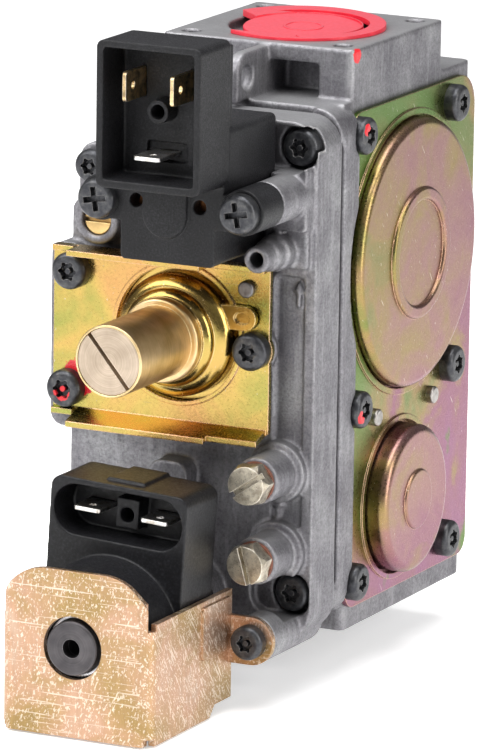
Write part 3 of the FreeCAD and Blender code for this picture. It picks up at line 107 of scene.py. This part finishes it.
class Look:
    """One procedural material, with short calls for the nodes that the materials here share."""

    def __init__(self, name):
        self.material = bpy.data.materials.new(name)
        self.material.use_nodes = True
        self.tree = self.material.node_tree
        self.shader = self.tree.nodes["Principled BSDF"]
        self.place = self.scaled(self.node("TexCoord").outputs["Object"], (1000, 1000, 1000))

    def node(self, kind, **settings):
        made = self.tree.nodes.new("ShaderNode" + kind)
        for key, value in settings.items():
            setattr(made, key, value)
        return made

    def link(self, value, socket):
        if isinstance(value, bpy.types.NodeSocket):
            self.tree.links.new(value, socket)
        elif value is not None:
            socket.default_value = value

    def scaled(self, vector, scale):
        made = self.node("VectorMath", operation="MULTIPLY")
        self.link(vector, made.inputs[0])
        made.inputs[1].default_value = scale
        return made.outputs[0]

    def math(self, operation, first, second=None, third=None, clamp=False):
        made = self.node("Math", operation=operation, use_clamp=clamp)
        for socket, value in zip(made.inputs, (first, second, third)):
            self.link(value, socket)
        return made.outputs[0]

    def noise(self, scale, detail=2.0, rough=0.5, vector=None, stretch=None, distort=0.0):
        """Noise from 0 to 1, about 0.5. Scale is in features per millimetre."""
        made = self.node("TexNoise")
        where = self.place if vector is None else vector
        if stretch:
            where = self.scaled(where, stretch)
        self.link(where, made.inputs["Vector"])
        made.inputs["Scale"].default_value = scale
        made.inputs["Detail"].default_value = detail
        made.inputs["Roughness"].default_value = rough
        made.inputs["Distortion"].default_value = distort
        return made.outputs["Fac"]

    def span(self, value, low, high, to_low=0.0, to_high=1.0):
        """Maps low..high to to_low..to_high and holds it there."""
        made = self.node("MapRange", clamp=True)
        for socket, number in zip(made.inputs, (value, low, high, to_low, to_high)):
            self.link(number, socket)
        return made.outputs[0]

    def ramp(self, value, stops):
        made = self.node("ValToRGB")
        band = made.color_ramp
        while len(band.elements) < len(stops):
            band.elements.new(0.5)
        for element, (position, colour) in zip(band.elements, stops):
            element.position = position
            element.color = (*colour, 1.0)
        self.link(value, made.inputs["Fac"])
        return made.outputs["Color"]

    def mix(self, share, first, second, blend="MIX"):
        made = self.node("Mix", data_type="RGBA", blend_type=blend)
        self.link(share, made.inputs["Factor"])
        for value, socket in ((first, made.inputs[6]), (second, made.inputs[7])):
            if isinstance(value, tuple):
                socket.default_value = (*value, 1.0)
            else:
                self.link(value, socket)
        return made.outputs[2]

    def axis(self, which):
        split = self.node("SeparateXYZ")
        self.link(self.place, split.inputs[0])
        return split.outputs[which]

    def facing(self, direction):
        """1 where the surface faces a direction and -1 where it faces away."""
        made = self.node("VectorMath", operation="DOT_PRODUCT")
        self.link(self.node("NewGeometry").outputs["Normal"], made.inputs[0])
        made.inputs[1].default_value = direction
        return made.outputs["Value"]

    def edges(self, radius):
        """1 along the edges of the piece, 0 on its open faces, and a normal that rounds those edges."""
        soft = self.node("Bevel", samples=4)
        soft.inputs["Radius"].default_value = radius * MM
        turn = self.node("VectorMath", operation="DOT_PRODUCT")
        self.link(soft.outputs["Normal"], turn.inputs[0])
        self.link(self.node("NewGeometry").outputs["Normal"], turn.inputs[1])
        return self.span(turn.outputs["Value"], 0.995, 0.86), soft.outputs["Normal"]

    def near(self, centre, radius, ragged=0.5):
        """1 inside a ragged ball, in millimetres."""
        away = self.node("VectorMath", operation="DISTANCE")
        self.link(self.place, away.inputs[0])
        away.inputs[1].default_value = centre
        wobble = self.math("MULTIPLY", self.noise(0.9, 3.0), ragged * radius)
        reach = self.math("ADD", away.outputs["Value"], wobble)
        return self.span(reach, radius * (1 + ragged / 2), radius * (0.94 + ragged / 2))

    def bump(self, height, depth, normal=None):
        """Relief of a given depth in millimetres."""
        made = self.node("Bump")
        made.inputs["Distance"].default_value = depth * MM
        made.inputs["Strength"].default_value = 1.0
        self.link(height, made.inputs["Height"])
        self.link(normal, made.inputs["Normal"])
        return made.outputs["Normal"]

    def finish(self, colour, rough, metallic=0.0, normal=None, coat=0.0, coat_rough=0.1, specular=0.5):
        values = (
            ("Base Color", (*colour, 1.0) if isinstance(colour, tuple) else colour),
            ("Roughness", rough),
            ("Metallic", metallic),
            ("Normal", normal),
            ("Coat Weight", coat),
            ("Coat Roughness", coat_rough),
            ("Specular IOR Level", specular),
        )
        for name, value in values:
            self.link(value, self.shader.inputs[name])
        return self.material


# ------------------------------------------------------------------ materials

PAINT_RED = (0.62, 0.012, 0.02)

CAST_GREYS = ((0.30, (0.165, 0.16, 0.175)), (0.52, (0.225, 0.22, 0.235)), (0.72, (0.295, 0.295, 0.305)))
CAST_SPECKS = ((0.30, (0.55, 0.55, 0.57)), (0.50, (0.95, 0.95, 0.95)), (0.74, (1.35, 1.34, 1.34)))
CAST_DRAG = (0.44, 0.44, 0.45)
# Painted top light: the colour that level faces of the castings are mixed towards
CAST_PAINTED_TOP_LIGHT = (0.46, 0.46, 0.47)
# Painted shade: the colour that hollows of the castings are mixed towards
CAST_PAINTED_SHADE = (0.11, 0.105, 0.115)
CAST_WORN = (0.60, 0.595, 0.59)
CAST_METALLIC = 0.88

SCRATCH = (0.90, 0.82, 0.72)
SCRATCH_TURNS = ((0.0, 1.0), (0.9, 0.8), (2.1, 0.9))
BRUSH_STROKES = ((0.3, (0.45, 0.38, 0.3)), (0.68, (1.3, 1.25, 1.2)))

PLASTIC_SPECKS = ((0.36, (0.5, 0.5, 0.5)), (0.52, (1.0, 1.0, 1.0)), (0.70, (2.6, 2.6, 2.6)))
TURNED_LINES = ((0.3, (0.55, 0.52, 0.5)), (0.66, (1.3, 1.3, 1.3)))
PLATED_WORN = (0.93, 0.90, 0.82)
OXIDE_PATCHES = ((0.35, (0.035, 0.036, 0.042)), (0.6, (0.075, 0.076, 0.08)), (0.78, (0.14, 0.135, 0.13)))
OXIDE_WORN = (0.30, 0.29, 0.28)
# Painted sheen on the red cap's level face
CAP_PAINTED_SHEEN = (0.52, 0.075, 0.10)


def cast_aluminium(name, paint=()):
    """Die-cast aluminium: grey, sand-grained, lighter on worn edges, with painted top light on level faces
    and painted shade in hollows.
    """
    look = Look(name)
    cloud = look.noise(0.10, 3.0)
    grain = look.noise(1.7, 5.0, 0.72)
    colour = look.ramp(cloud, CAST_GREYS)
    speck = look.ramp(grain, CAST_SPECKS)
    colour = look.mix(0.85, colour, speck, "MULTIPLY")
    drag = look.noise(0.55, 4.0, 0.7, stretch=(1.0, 1.0, 0.10))
    colour = look.mix(look.span(drag, 0.50, 0.72, 0.0, 0.45), colour, CAST_DRAG)
    # Painted top light: faces turned upwards are mixed towards a lighter grey
    painted_top_light = look.span(look.facing((0, 0, 1)), 0.6, 1.0, 0.0, 0.6)
    colour = look.mix(painted_top_light, colour, CAST_PAINTED_TOP_LIGHT)
    # Painted shade: hollows found by ambient occlusion are mixed towards a dark grey
    painted_shade_ao = look.node("AmbientOcclusion", samples=4)
    painted_shade_ao.inputs["Distance"].default_value = PAINTED_SHADE_REACH * MM
    shade = look.span(painted_shade_ao.outputs["AO"], 0.25, 0.85, 0.55, 0.0)
    colour = look.mix(shade, colour, CAST_PAINTED_SHADE)
    edge, soft = look.edges(CAST_EDGE)
    worn = look.math("MULTIPLY", edge, look.span(look.noise(0.8, 3.0), 0.32, 0.55, 0.15, 0.75))
    colour = look.mix(worn, colour, CAST_WORN)
    rough = look.span(grain, 0.3, 0.7, 0.62, 0.44)
    metallic = CAST_METALLIC
    for centre, radius in paint:
        dab = look.near(centre, radius)
        colour = look.mix(dab, colour, PAINT_RED)
        rough = look.math("SUBTRACT", rough, look.math("MULTIPLY", dab, 0.2))
        metallic = look.math("SUBTRACT", metallic, look.math("MULTIPLY", dab, CAST_METALLIC), clamp=True)
    relief = look.math("ADD", grain, look.math("MULTIPLY", look.noise(0.45, 2.0), 1.6))
    return look.finish(colour, rough, metallic, look.bump(relief, CAST_RELIEF, soft))


def chromate(name, stops, slope, drift=0.55, rough=0.30, edge_highlight_colour=(0.74, 0.46, 0.32), paint=(), brush=None,
             scratched=0.735):
    """Yellow chromate zinc plate, whose film colour drifts across the sheet.

    slope gives the drift along X, Y and Z per millimetre and its start. stops are the film colours in order.
    A lower value of scratched gives more scratches. The edge colour is a painted highlight laid along the
    sheet's edges.
    """
    look = Look(name)
    level = slope[3]
    for i in range(3):
        if slope[i]:
            level = look.math("MULTIPLY_ADD", look.axis(i), slope[i], level)
    cloud = look.math("SUBTRACT", look.noise(0.055, 3.0, 0.55, distort=0.7), 0.5)
    level = look.math("MULTIPLY_ADD", cloud, drift * 2.2, level)
    fine = look.math("SUBTRACT", look.noise(0.55, 4.0, 0.6), 0.5)
    level = look.math("MULTIPLY_ADD", fine, drift * 0.30, level)
    glance = look.node("LayerWeight")
    glance.inputs["Blend"].default_value = 0.35
    level = look.math("MULTIPLY_ADD", glance.outputs["Facing"], 0.10, level)
    colour = look.ramp(level, stops)
    scratches = None
    for turn, scale in SCRATCH_TURNS:
        turned = look.node("Mapping")
        turned.inputs["Rotation"].default_value = (turn, turn * 0.7, turn * 1.3)
        look.link(look.place, turned.inputs["Vector"])
        line = look.noise(scale, 2.0, 0.5, vector=turned.outputs[0], stretch=(0.05, 2.6, 2.6))
        line = look.span(line, scratched, scratched + 0.04)
        scratches = line if scratches is None else look.math("MAXIMUM", scratches, line)
    colour = look.mix(look.math("MULTIPLY", scratches, 0.62), colour, SCRATCH)
    mottle = look.noise(2.2, 3.0, 0.65)
    dull = look.math("MULTIPLY", scratches, 0.12)
    shine = look.math("ADD", look.span(mottle, 0.3, 0.7, rough - 0.07, rough + 0.09), dull)
    if brush:
        strokes = look.noise(1.5, 4.0, 0.7, stretch=brush)
        colour = look.mix(0.25, colour, look.ramp(strokes, BRUSH_STROKES), "MULTIPLY")
    edge, soft = look.edges(SHEET_EDGE)
    # Painted edge highlight: the edges of the sheet are mixed towards a bright edge colour
    colour = look.mix(look.math("MULTIPLY", edge, 0.8), colour, edge_highlight_colour)
    metallic = 1.0
    for centre, radius in paint:
        dab = look.near(centre, radius)
        colour = look.mix(dab, colour, PAINT_RED)
        metallic = look.math("SUBTRACT", metallic, dab, clamp=True)
    relief = look.math("ADD", mottle, look.math("MULTIPLY", scratches, -1.2))
    relief = look.math("ADD", relief, look.math("MULTIPLY", look.noise(0.12, 2.0), 5.0))
    return look.finish(colour, shine, metallic, look.bump(relief, SHEET_RELIEF, soft))


def moulding(name, colour, rough, grain_depth, grain_scale=2.4):
    """Glass-filled black plastic, dusty on its worn edges, and lighter on its upward faces from dust and a
    painted sheen.
    """
    look = Look(name)
    grain = look.noise(grain_scale, 5.0, 0.7)
    cloud = look.noise(0.12, 3.0)
    light = tuple(c * 1.6 for c in colour)
    body = look.mix(look.span(cloud, 0.35, 0.7), colour, light)
    # Dust and painted sheen: faces turned upwards are mixed lighter, partly standing for light glancing off
    # the top
    dust_and_top_sheen = look.span(look.facing((0, 0, 1)), 0.5, 1.0, 0.0, 0.45)
    body = look.mix(dust_and_top_sheen, body, tuple(c * 2.2 for c in colour))
    speck = look.ramp(grain, PLASTIC_SPECKS)
    body = look.mix(0.9, body, speck, "MULTIPLY")
    edge, soft = look.edges(MOULDED_EDGE)
    rubbed = look.math("MULTIPLY", edge, look.span(look.noise(0.6, 3.0), 0.4, 0.65, 0.05, 0.5))
    body = look.mix(rubbed, body, tuple(c * 6.0 for c in colour))
    shine = look.span(grain, 0.3, 0.7, rough + 0.10, rough - 0.10)
    return look.finish(body, shine, 0.0, look.bump(grain, grain_depth, soft), specular=0.26)


def turned(name, colour, dark, rough, axis_stretch, ring_depth=0.015, centre=None):
    """Turned metal. Lines run round the axis, or round centre on an end face."""
    look = Look(name)
    if centre:
        away = look.node("VectorMath", operation="DISTANCE")
        flat = look.scaled(look.place, (1, 0, 1))
        look.link(flat, away.inputs[0])
        away.inputs[1].default_value = centre
        joined = look.node("CombineXYZ")
        look.link(away.outputs["Value"], joined.inputs[0])
        lines = look.noise(3.4, 3.0, 0.7, vector=joined.outputs[0])
    else:
        lines = look.noise(2.2, 4.0, 0.75, stretch=axis_stretch)
    cloud = look.noise(0.22, 3.0)
    body = look.mix(look.span(cloud, 0.35, 0.68), dark, colour)
    body = look.mix(0.4, body, look.ramp(lines, TURNED_LINES), "MULTIPLY")
    edge, soft = look.edges(MACHINED_EDGE)
    worn = tuple(min(1.0, c * 1.5 + 0.1) for c in colour)
    body = look.mix(look.math("MULTIPLY", edge, 0.6), body, worn)
    shine = look.span(lines, 0.3, 0.7, rough + 0.1, rough - 0.08)
    return look.finish(body, shine, 1.0, look.bump(lines, ring_depth, soft))


def plated(name, colour, stain, rough):
    """Small nickel or tin plated hardware, stained in patches."""
    look = Look(name)
    patches = look.noise(0.5, 4.0, 0.65)
    bright = tuple(min(1.0, c * 1.2) for c in colour)
    body = look.ramp(patches, ((0.34, stain), (0.56, colour), (0.74, bright)))
    edge, soft = look.edges(PLATED_EDGE)
    body = look.mix(look.math("MULTIPLY", edge, 0.7), body, PLATED_WORN)
    grain = look.noise(3.0, 4.0, 0.7)
    shine = look.span(grain, 0.3, 0.7, rough - 0.06, rough + 0.1)
    return look.finish(body, shine, 1.0, look.bump(grain, 0.02, soft))


def blackened(name, paint=()):
    """Black oxide steel with grey rubbed edges, and paint on a marked screw."""
    look = Look(name)
    patches = look.noise(0.8, 4.0, 0.65)
    body = look.ramp(patches, OXIDE_PATCHES)
    edge, soft = look.edges(MACHINED_EDGE)
    body = look.mix(look.math("MULTIPLY", edge, 0.5), body, OXIDE_WORN)
    rough = look.span(look.noise(2.4, 3.0), 0.3, 0.7, 0.30, 0.46)
    metallic = 0.75
    for centre, radius in paint:
        dab = look.near(centre, radius)
        body = look.mix(dab, body, PAINT_RED)
        metallic = look.math("SUBTRACT", metallic, dab, clamp=True)
    return look.finish(body, rough, metallic, look.bump(patches, 0.03, soft))


def soft_plastic(name, colour, deep):
    """Soft red polyethylene: slightly waxy, with faint flow lines and a painted sheen that makes its level
    face paler.
    """
    look = Look(name)
    flow = look.noise(0.16, 3.0, 0.5, distort=1.2)
    body = look.mix(look.span(flow, 0.35, 0.65), deep, colour)
    edge, soft = look.edges(MACHINED_EDGE)
    body = look.mix(look.math("MULTIPLY", edge, 0.35), body, tuple(min(1.0, c * 1.5 + 0.03) for c in colour))
    # Painted sheen: the level top face is mixed towards a paler pink, standing for reflected light
    painted_sheen = look.span(look.facing((0, 0, 1)), 0.7, 1.0, 0.0, 0.8)
    body = look.mix(painted_sheen, body, CAP_PAINTED_SHEEN)
    shine = look.span(look.noise(1.2, 3.0), 0.3, 0.7, 0.34, 0.46)
    look.shader.inputs["Subsurface Weight"].default_value = 0.08
    look.shader.inputs["Subsurface Radius"].default_value = (0.004, 0.001, 0.001)
    return look.finish(body, shine, 0.0, look.bump(flow, 0.06, soft), coat=0.15, coat_rough=0.3)


def rubber(name, colour=(0.018, 0.018, 0.019)):
    look = Look(name)
    grain = look.noise(1.6, 4.0, 0.7)
    body = look.mix(look.span(grain, 0.35, 0.7), colour, tuple(c * 2.4 for c in colour))
    shine = look.span(grain, 0.3, 0.7, 0.62, 0.78)
    return look.finish(body, shine, 0.0, look.bump(grain, 0.03, look.edges(0.2)[1]))


def wound_copper(name):
    """Enamelled wire laid in turns along the coil's axis."""
    look = Look(name)
    wave = look.node("TexWave", bands_direction="Y")
    look.link(look.place, wave.inputs["Vector"])
    wave.inputs["Scale"].default_value = 0.62
    wave.inputs["Distortion"].default_value = 0.15
    turns = wave.outputs["Fac"]
    tint = look.mix(look.noise(0.3, 2.0), (0.44, 0.17, 0.06), (0.62, 0.28, 0.11))
    # Painted shade: the grooves between the wire turns are mixed towards a dark brown
    body = look.mix(look.span(turns, 0.0, 0.5, 0.6, 0.0), tint, (0.12, 0.04, 0.02))
    return look.finish(body, look.span(turns, 0.0, 1.0, 0.5, 0.28), 0.9, look.bump(turns, 0.2))


# ------------------------------------------------------------------ geometry helpers


def centre_of(node):
    low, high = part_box(node)
    return (low + high) / 2


def in_mm(point):
    return tuple(c / MM for c in point)


def baked(piece):
    """Replaces a piece's mesh by the result of its modifiers."""
    bpy.context.view_layer.update()
    depsgraph = bpy.context.evaluated_depsgraph_get()
    mesh = bpy.data.meshes.new_from_object(piece.evaluated_get(depsgraph), depsgraph=depsgraph)
    piece.modifiers.clear()
    piece.data = mesh
    return piece


def body_of_node(node):
    for body, members in frame["record"]["behaviour"]["bodies"].items():
        if node in members:
            return body
    raise KeyError(node)


def cast_from(node, name, voxel, passes, wave=0.0):
    """A cast or moulded shell with rounded edges and blended corners, standing for a CAD node."""
    piece = bpy.data.objects.new(name, NODES[node].data.copy())
    bpy.context.scene.collection.objects.link(piece)
    weld = piece.modifiers.new("weld", "WELD")
    weld.merge_threshold = WELD_GAP
    voxels = piece.modifiers.new("voxels", "REMESH")
    voxels.mode = "VOXEL"
    voxels.voxel_size = voxel
    soften = piece.modifiers.new("soften", "SMOOTH")
    soften.factor = 0.5
    soften.iterations = passes
    if wave:
        clouds = bpy.data.textures.new(name + "_waves", "CLOUDS")
        clouds.noise_scale = WAVE_SIZE
        clouds.noise_depth = 2
        ripple = piece.modifiers.new("ripple", "DISPLACE")
        ripple.texture = clouds
        ripple.strength = wave
        ripple.mid_level = 0.5
    baked(piece)
    faces = 2 * len(piece.data.polygons)
    if faces > MOST_FACES:
        thin = piece.modifiers.new("thin", "DECIMATE")
        thin.ratio = MOST_FACES / faces
        baked(piece)
    for polygon in piece.data.polygons:
        polygon.use_smooth = True
    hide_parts(node)
    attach(piece, body_of_node(node))
    return piece


def paint_with(material, *nodes):
    for node in nodes:
        mesh = NODES[node].data
        mesh.materials.clear()
        mesh.materials.append(material)


# ------------------------------------------------------------------ pieces

rear_casting = cast_from("main_body", "rear_casting", CASTING_VOXEL, 5, CASTING_WAVE)
front_casting = cast_from("front_cover", "front_casting", COVER_VOXEL, 6, COVER_WAVE)
upper_moulding = cast_from("ev2_housing", "upper_coil_moulding", MOULDING_VOXEL, 2)
lower_moulding = cast_from("ev1_housing", "lower_coil_moulding", MOULDING_VOXEL, 2)

# How turned marks are stretched on a piece whose axis lies along Y or X
ALONG_Y = (0.05, 3.0, 0.05)
ALONG_X = (3.0, 0.05, 0.05)

CORNER_DAB = (((22.65, -20.4, 125.5), 1.7),)
rear_casting.data.materials.clear()
rear_casting.data.materials.append(cast_aluminium("cast_aluminium_rear", CORNER_DAB))
front_casting.data.materials.clear()
front_casting.data.materials.append(cast_aluminium("cast_aluminium_front"))
upper_moulding.data.materials.clear()
upper_moulding.data.materials.append(moulding("upper_plastic", (0.0075, 0.0075, 0.0085), 0.46, 0.07))
lower_moulding.data.materials.clear()
lower_moulding.data.materials.append(moulding("lower_plastic", (0.0065, 0.0065, 0.0075), 0.38, 0.035, 1.6))

GREEN = (0.11, 0.19, 0.04)
OLIVE = (0.27, 0.27, 0.07)
GOLD = (0.44, 0.31, 0.09)
OCHRE = (0.48, 0.27, 0.10)
MAUVE = (0.26, 0.115, 0.15)
LILAC = (0.26, 0.11, 0.18)
PEACH = (0.48, 0.30, 0.20)
DARK_OLIVE = (0.17, 0.19, 0.06)
BRONZE = (0.28, 0.20, 0.08)
ROSE = (0.29, 0.16, 0.14)
TAN = (0.34, 0.23, 0.10)
SAND = (0.40, 0.26, 0.14)

SIDE_FILM = ((0.0, GREEN), (0.32, DARK_OLIVE), (0.46, BRONZE), (0.62, MAUVE), (0.85, LILAC), (1.0, GREEN))
FACE_FILM = ((0.0, GREEN), (0.22, DARK_OLIVE), (0.40, BRONZE), (0.58, ROSE), (0.80, MAUVE), (1.0, BRONZE))
GOLD_FILM = ((0.0, OLIVE), (0.22, GOLD), (0.45, OCHRE), (0.62, GOLD), (0.80, OLIVE), (1.0, MAUVE))
YOKE_FILM = ((0.0, BRONZE), (0.28, TAN), (0.50, SAND), (0.72, PEACH), (1.0, (0.50, 0.37, 0.28)))

REGULATOR_SCREW_PAINT = (((-30.7, -53.0, 52.6), 2.1),)
REGULATOR_PLATE_PAINT = (((-28.2, -49.6, 55.6), 4.2),)
SIDE_SCREW_PAINT = (((28.0, -23.6, 110.4), 1.8), ((28.0, -24.0, 48.0), 1.9))

paint_with(chromate("side_plate_film", SIDE_FILM, (0, 0.008, -0.006, 0.66)), "side_plate")
paint_with(chromate("dome_film", FACE_FILM, (0.02, 0.004, -0.002, 0.10), 0.42), "main_dome", "safety_dome")
paint_with(chromate("regulator_plate_film", GOLD_FILM, (0.012, 0, 0.003, 0.30), 0.45, 0.24,
                    paint=REGULATOR_PLATE_PAINT), "regulator_plate")
paint_with(chromate("cup_film", ((0.0, OLIVE), (0.5, GOLD), (1.0, OCHRE)), (0, 0, 0, 0.5), 0.4, 0.18,
                    (0.74, 0.58, 0.32)), "regulator_cup")
paint_with(chromate("yoke_film", YOKE_FILM, (0, 0, 0.004, 0.50), 0.9, 0.38, (0.42, 0.24, 0.14),
                    brush=(1.0, 1.0, 0.12), scratched=0.61), "ev1_bracket")
paint_with(turned("sleeve_brass", (0.80, 0.60, 0.34), (0.62, 0.43, 0.20), 0.38, ALONG_Y), "regulator_sleeve")
regulator_axis = in_mm(centre_of("regulator_adjusting_screw"))
paint_with(turned("adjuster_face", (0.56, 0.46, 0.36), (0.42, 0.34, 0.26), 0.50, None,
                  centre=(regulator_axis[0], 0, regulator_axis[2])), "regulator_adjusting_screw")
paint_with(turned("throttle_brass", (0.70, 0.50, 0.22), (0.42, 0.28, 0.12), 0.34, ALONG_Y), "throttle_screw")
core_axis = in_mm(centre_of("ev1_fixed_core"))
paint_with(turned("core_end", (0.115, 0.108, 0.112), (0.07, 0.066, 0.07), 0.48, None,
                  centre=(core_axis[0], 0, core_axis[2])), "ev1_fixed_core")
paint_with(turned("core_steel", (0.55, 0.55, 0.57), (0.36, 0.36, 0.38), 0.32, ALONG_Y),
           "ev2_fixed_core", "ev1_plunger", "ev2_plunger", "ev1_core_tube", "ev2_core_tube")
paint_with(turned("valve_steel", (0.62, 0.62, 0.64), (0.42, 0.42, 0.44), 0.30, ALONG_X),
           "main_valve_stem", "safety_valve_stem", "main_valve_disc", "safety_valve_disc",
           "main_diaphragm_plates", "safety_diaphragm_plates")
paint_with(plated("spring_steel", (0.62, 0.61, 0.60), (0.36, 0.34, 0.32), 0.28),
           "main_closing_spring", "safety_closing_spring", "regulator_spring", "ev1_spring", "ev2_spring",
           "regulator_spring_seat", "regulator_piston", "ev1_valve_disc", "inlet_filter")
paint_with(plated("dull_nickel", (0.66, 0.60, 0.48), (0.36, 0.31, 0.24), 0.30),
           "outlet_test_screw", "inlet_test_screw")
paint_with(plated("side_pins", (0.40, 0.38, 0.36), (0.24, 0.22, 0.20), 0.36), "side_plate_pins")
paint_with(plated("plate_pin", (0.19, 0.18, 0.18), (0.10, 0.09, 0.09), 0.40), "regulator_plate_pin")
paint_with(plated("blade_brass", (0.80, 0.60, 0.32), (0.30, 0.22, 0.12), 0.34), "ev2_line_terminals")
paint_with(plated("blade_tin", (0.78, 0.77, 0.76), (0.52, 0.48, 0.42), 0.30),
           "ev2_earth_terminal", "ev1_terminals")
paint_with(blackened("black_screws"), "cover_screws", "ev1_bracket_screws", "ev2_screws")
paint_with(blackened("black_side_screws", SIDE_SCREW_PAINT), "side_plate_screws")
paint_with(blackened("black_plate_screws", REGULATOR_SCREW_PAINT), "regulator_plate_screws")
paint_with(soft_plastic("red_cap", (0.80, 0.030, 0.055), (0.66, 0.012, 0.035)), "outlet_cap")
paint_with(rubber("nitrile_rubber"), "cover_gasket", "main_diaphragm", "safety_diaphragm", "main_valve_seal",
           "safety_valve_seal", "regulator_diaphragm", "ev1_disc_seal", "ev2_plunger_tip")
paint_with(rubber("fibre_washer", (0.10, 0.035, 0.02)), "outlet_test_washer", "inlet_test_washer")
paint_with(wound_copper("copper_winding"), "ev1_winding", "ev2_winding")


# ------------------------------------------------------------------ floor, light and camera


def studio_floor():
    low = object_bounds()[0]
    half = FLOOR_HALF
    height = low.z - FLOOR_GAP
    corners = [(-half, -half, height), (half, -half, height), (half, half, height), (-half, half, height)]
    mesh = bpy.data.meshes.new("studio_floor")
    mesh.from_pydata(corners, [], [(0, 1, 2, 3)])
    floor = bpy.data.objects.new("studio_floor", mesh)
    bpy.context.scene.collection.objects.link(floor)
    look = Look("pale_floor")
    look.finish(look.mix(look.noise(0.01), (0.93, 0.93, 0.93), (0.96, 0.96, 0.96)), 0.9)
    look.shader.inputs["Emission Color"].default_value = (1, 1, 1, 1)
    look.shader.inputs["Emission Strength"].default_value = FLOOR_GLOW
    mesh.materials.append(look.material)
    floor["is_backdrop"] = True


def soft_light(name, azimuth, elevation, distance, size, power, colour=(1, 1, 1)):
    lamp = bpy.data.lights.new(name, "AREA")
    lamp.shape = "RECTANGLE"
    lamp.size, lamp.size_y = size
    lamp.energy = power
    lamp.color = colour
    made = bpy.data.objects.new(name, lamp)
    bpy.context.scene.collection.objects.link(made)
    a, e = math.radians(azimuth), math.radians(elevation)
    back = Vector((math.sin(a) * math.cos(e), -math.cos(a) * math.cos(e), math.sin(e)))
    made.location = Vector((0, 0, 0.06)) + back * distance
    made.rotation_mode = "QUATERNION"
    made.rotation_quaternion = (-back).to_track_quat("-Z", "Y")


def studio_world():
    """White to the camera. Reflections see a softly graded room."""
    world = bpy.data.worlds.new("studio")
    bpy.context.scene.world = world
    world.use_nodes = True
    tree = world.node_tree
    tree.nodes.clear()
    output = tree.nodes.new("ShaderNodeOutputWorld")
    choose = tree.nodes.new("ShaderNodeMixShader")
    path = tree.nodes.new("ShaderNodeLightPath")
    seen = tree.nodes.new("ShaderNodeBackground")
    seen.inputs["Color"].default_value = (1, 1, 1, 1)
    seen.inputs["Strength"].default_value = 1.0
    room = tree.nodes.new("ShaderNodeBackground")
    where = tree.nodes.new("ShaderNodeTexCoord")
    split = tree.nodes.new("ShaderNodeSeparateXYZ")
    band = tree.nodes.new("ShaderNodeValToRGB")
    band.color_ramp.elements[0].position = 0.0
    band.color_ramp.elements[0].color = (0.34, 0.34, 0.36, 1)
    band.color_ramp.elements[1].position = 0.9
    band.color_ramp.elements[1].color = (1.0, 1.0, 1.0, 1)
    room.inputs["Strength"].default_value = 0.36
    tree.links.new(where.outputs["Generated"], split.inputs[0])
    tree.links.new(split.outputs["Z"], band.inputs["Fac"])
    tree.links.new(band.outputs["Color"], room.inputs["Color"])
    tree.links.new(path.outputs["Is Camera Ray"], choose.inputs["Fac"])
    tree.links.new(room.outputs[0], choose.inputs[1])
    tree.links.new(seen.outputs[0], choose.inputs[2])
    tree.links.new(choose.outputs[0], output.inputs["Surface"])


def studio_camera():
    a, e, r = CAMERA_AZIMUTH, CAMERA_ELEVATION, CAMERA_ROLL
    back = Vector((math.sin(a) * math.cos(e), -math.cos(a) * math.cos(e), math.sin(e)))
    level = Vector((math.cos(a), math.sin(a), 0))
    up = level.cross(-back)
    right = level * math.cos(r) + up * math.sin(r)
    top = up * math.cos(r) - level * math.sin(r)
    data = bpy.data.cameras.new("camera")
    data.lens = CAMERA_LENS
    data.sensor_width = CAMERA_SENSOR
    data.clip_end = CAMERA_REACH
    camera = bpy.data.objects.new("camera", data)
    bpy.context.scene.collection.objects.link(camera)
    turn = Matrix((right, top, back)).transposed()
    camera.matrix_world = Matrix.Translation(CAMERA_TARGET + back * CAMERA_DISTANCE) @ turn.to_4x4()
    bpy.context.scene.camera = camera


studio_floor()
studio_world()
soft_light("key_left", -35, 38, 0.9, (0.7, 0.7), 6.5)
soft_light("top", 20, 78, 0.9, (0.8, 0.8), 11)
soft_light("right_strip", 82, 14, 0.8, (0.25, 0.8), 4.2, (1.0, 0.98, 0.95))
studio_camera()
bpy.context.scene.view_settings.view_transform = "Standard"
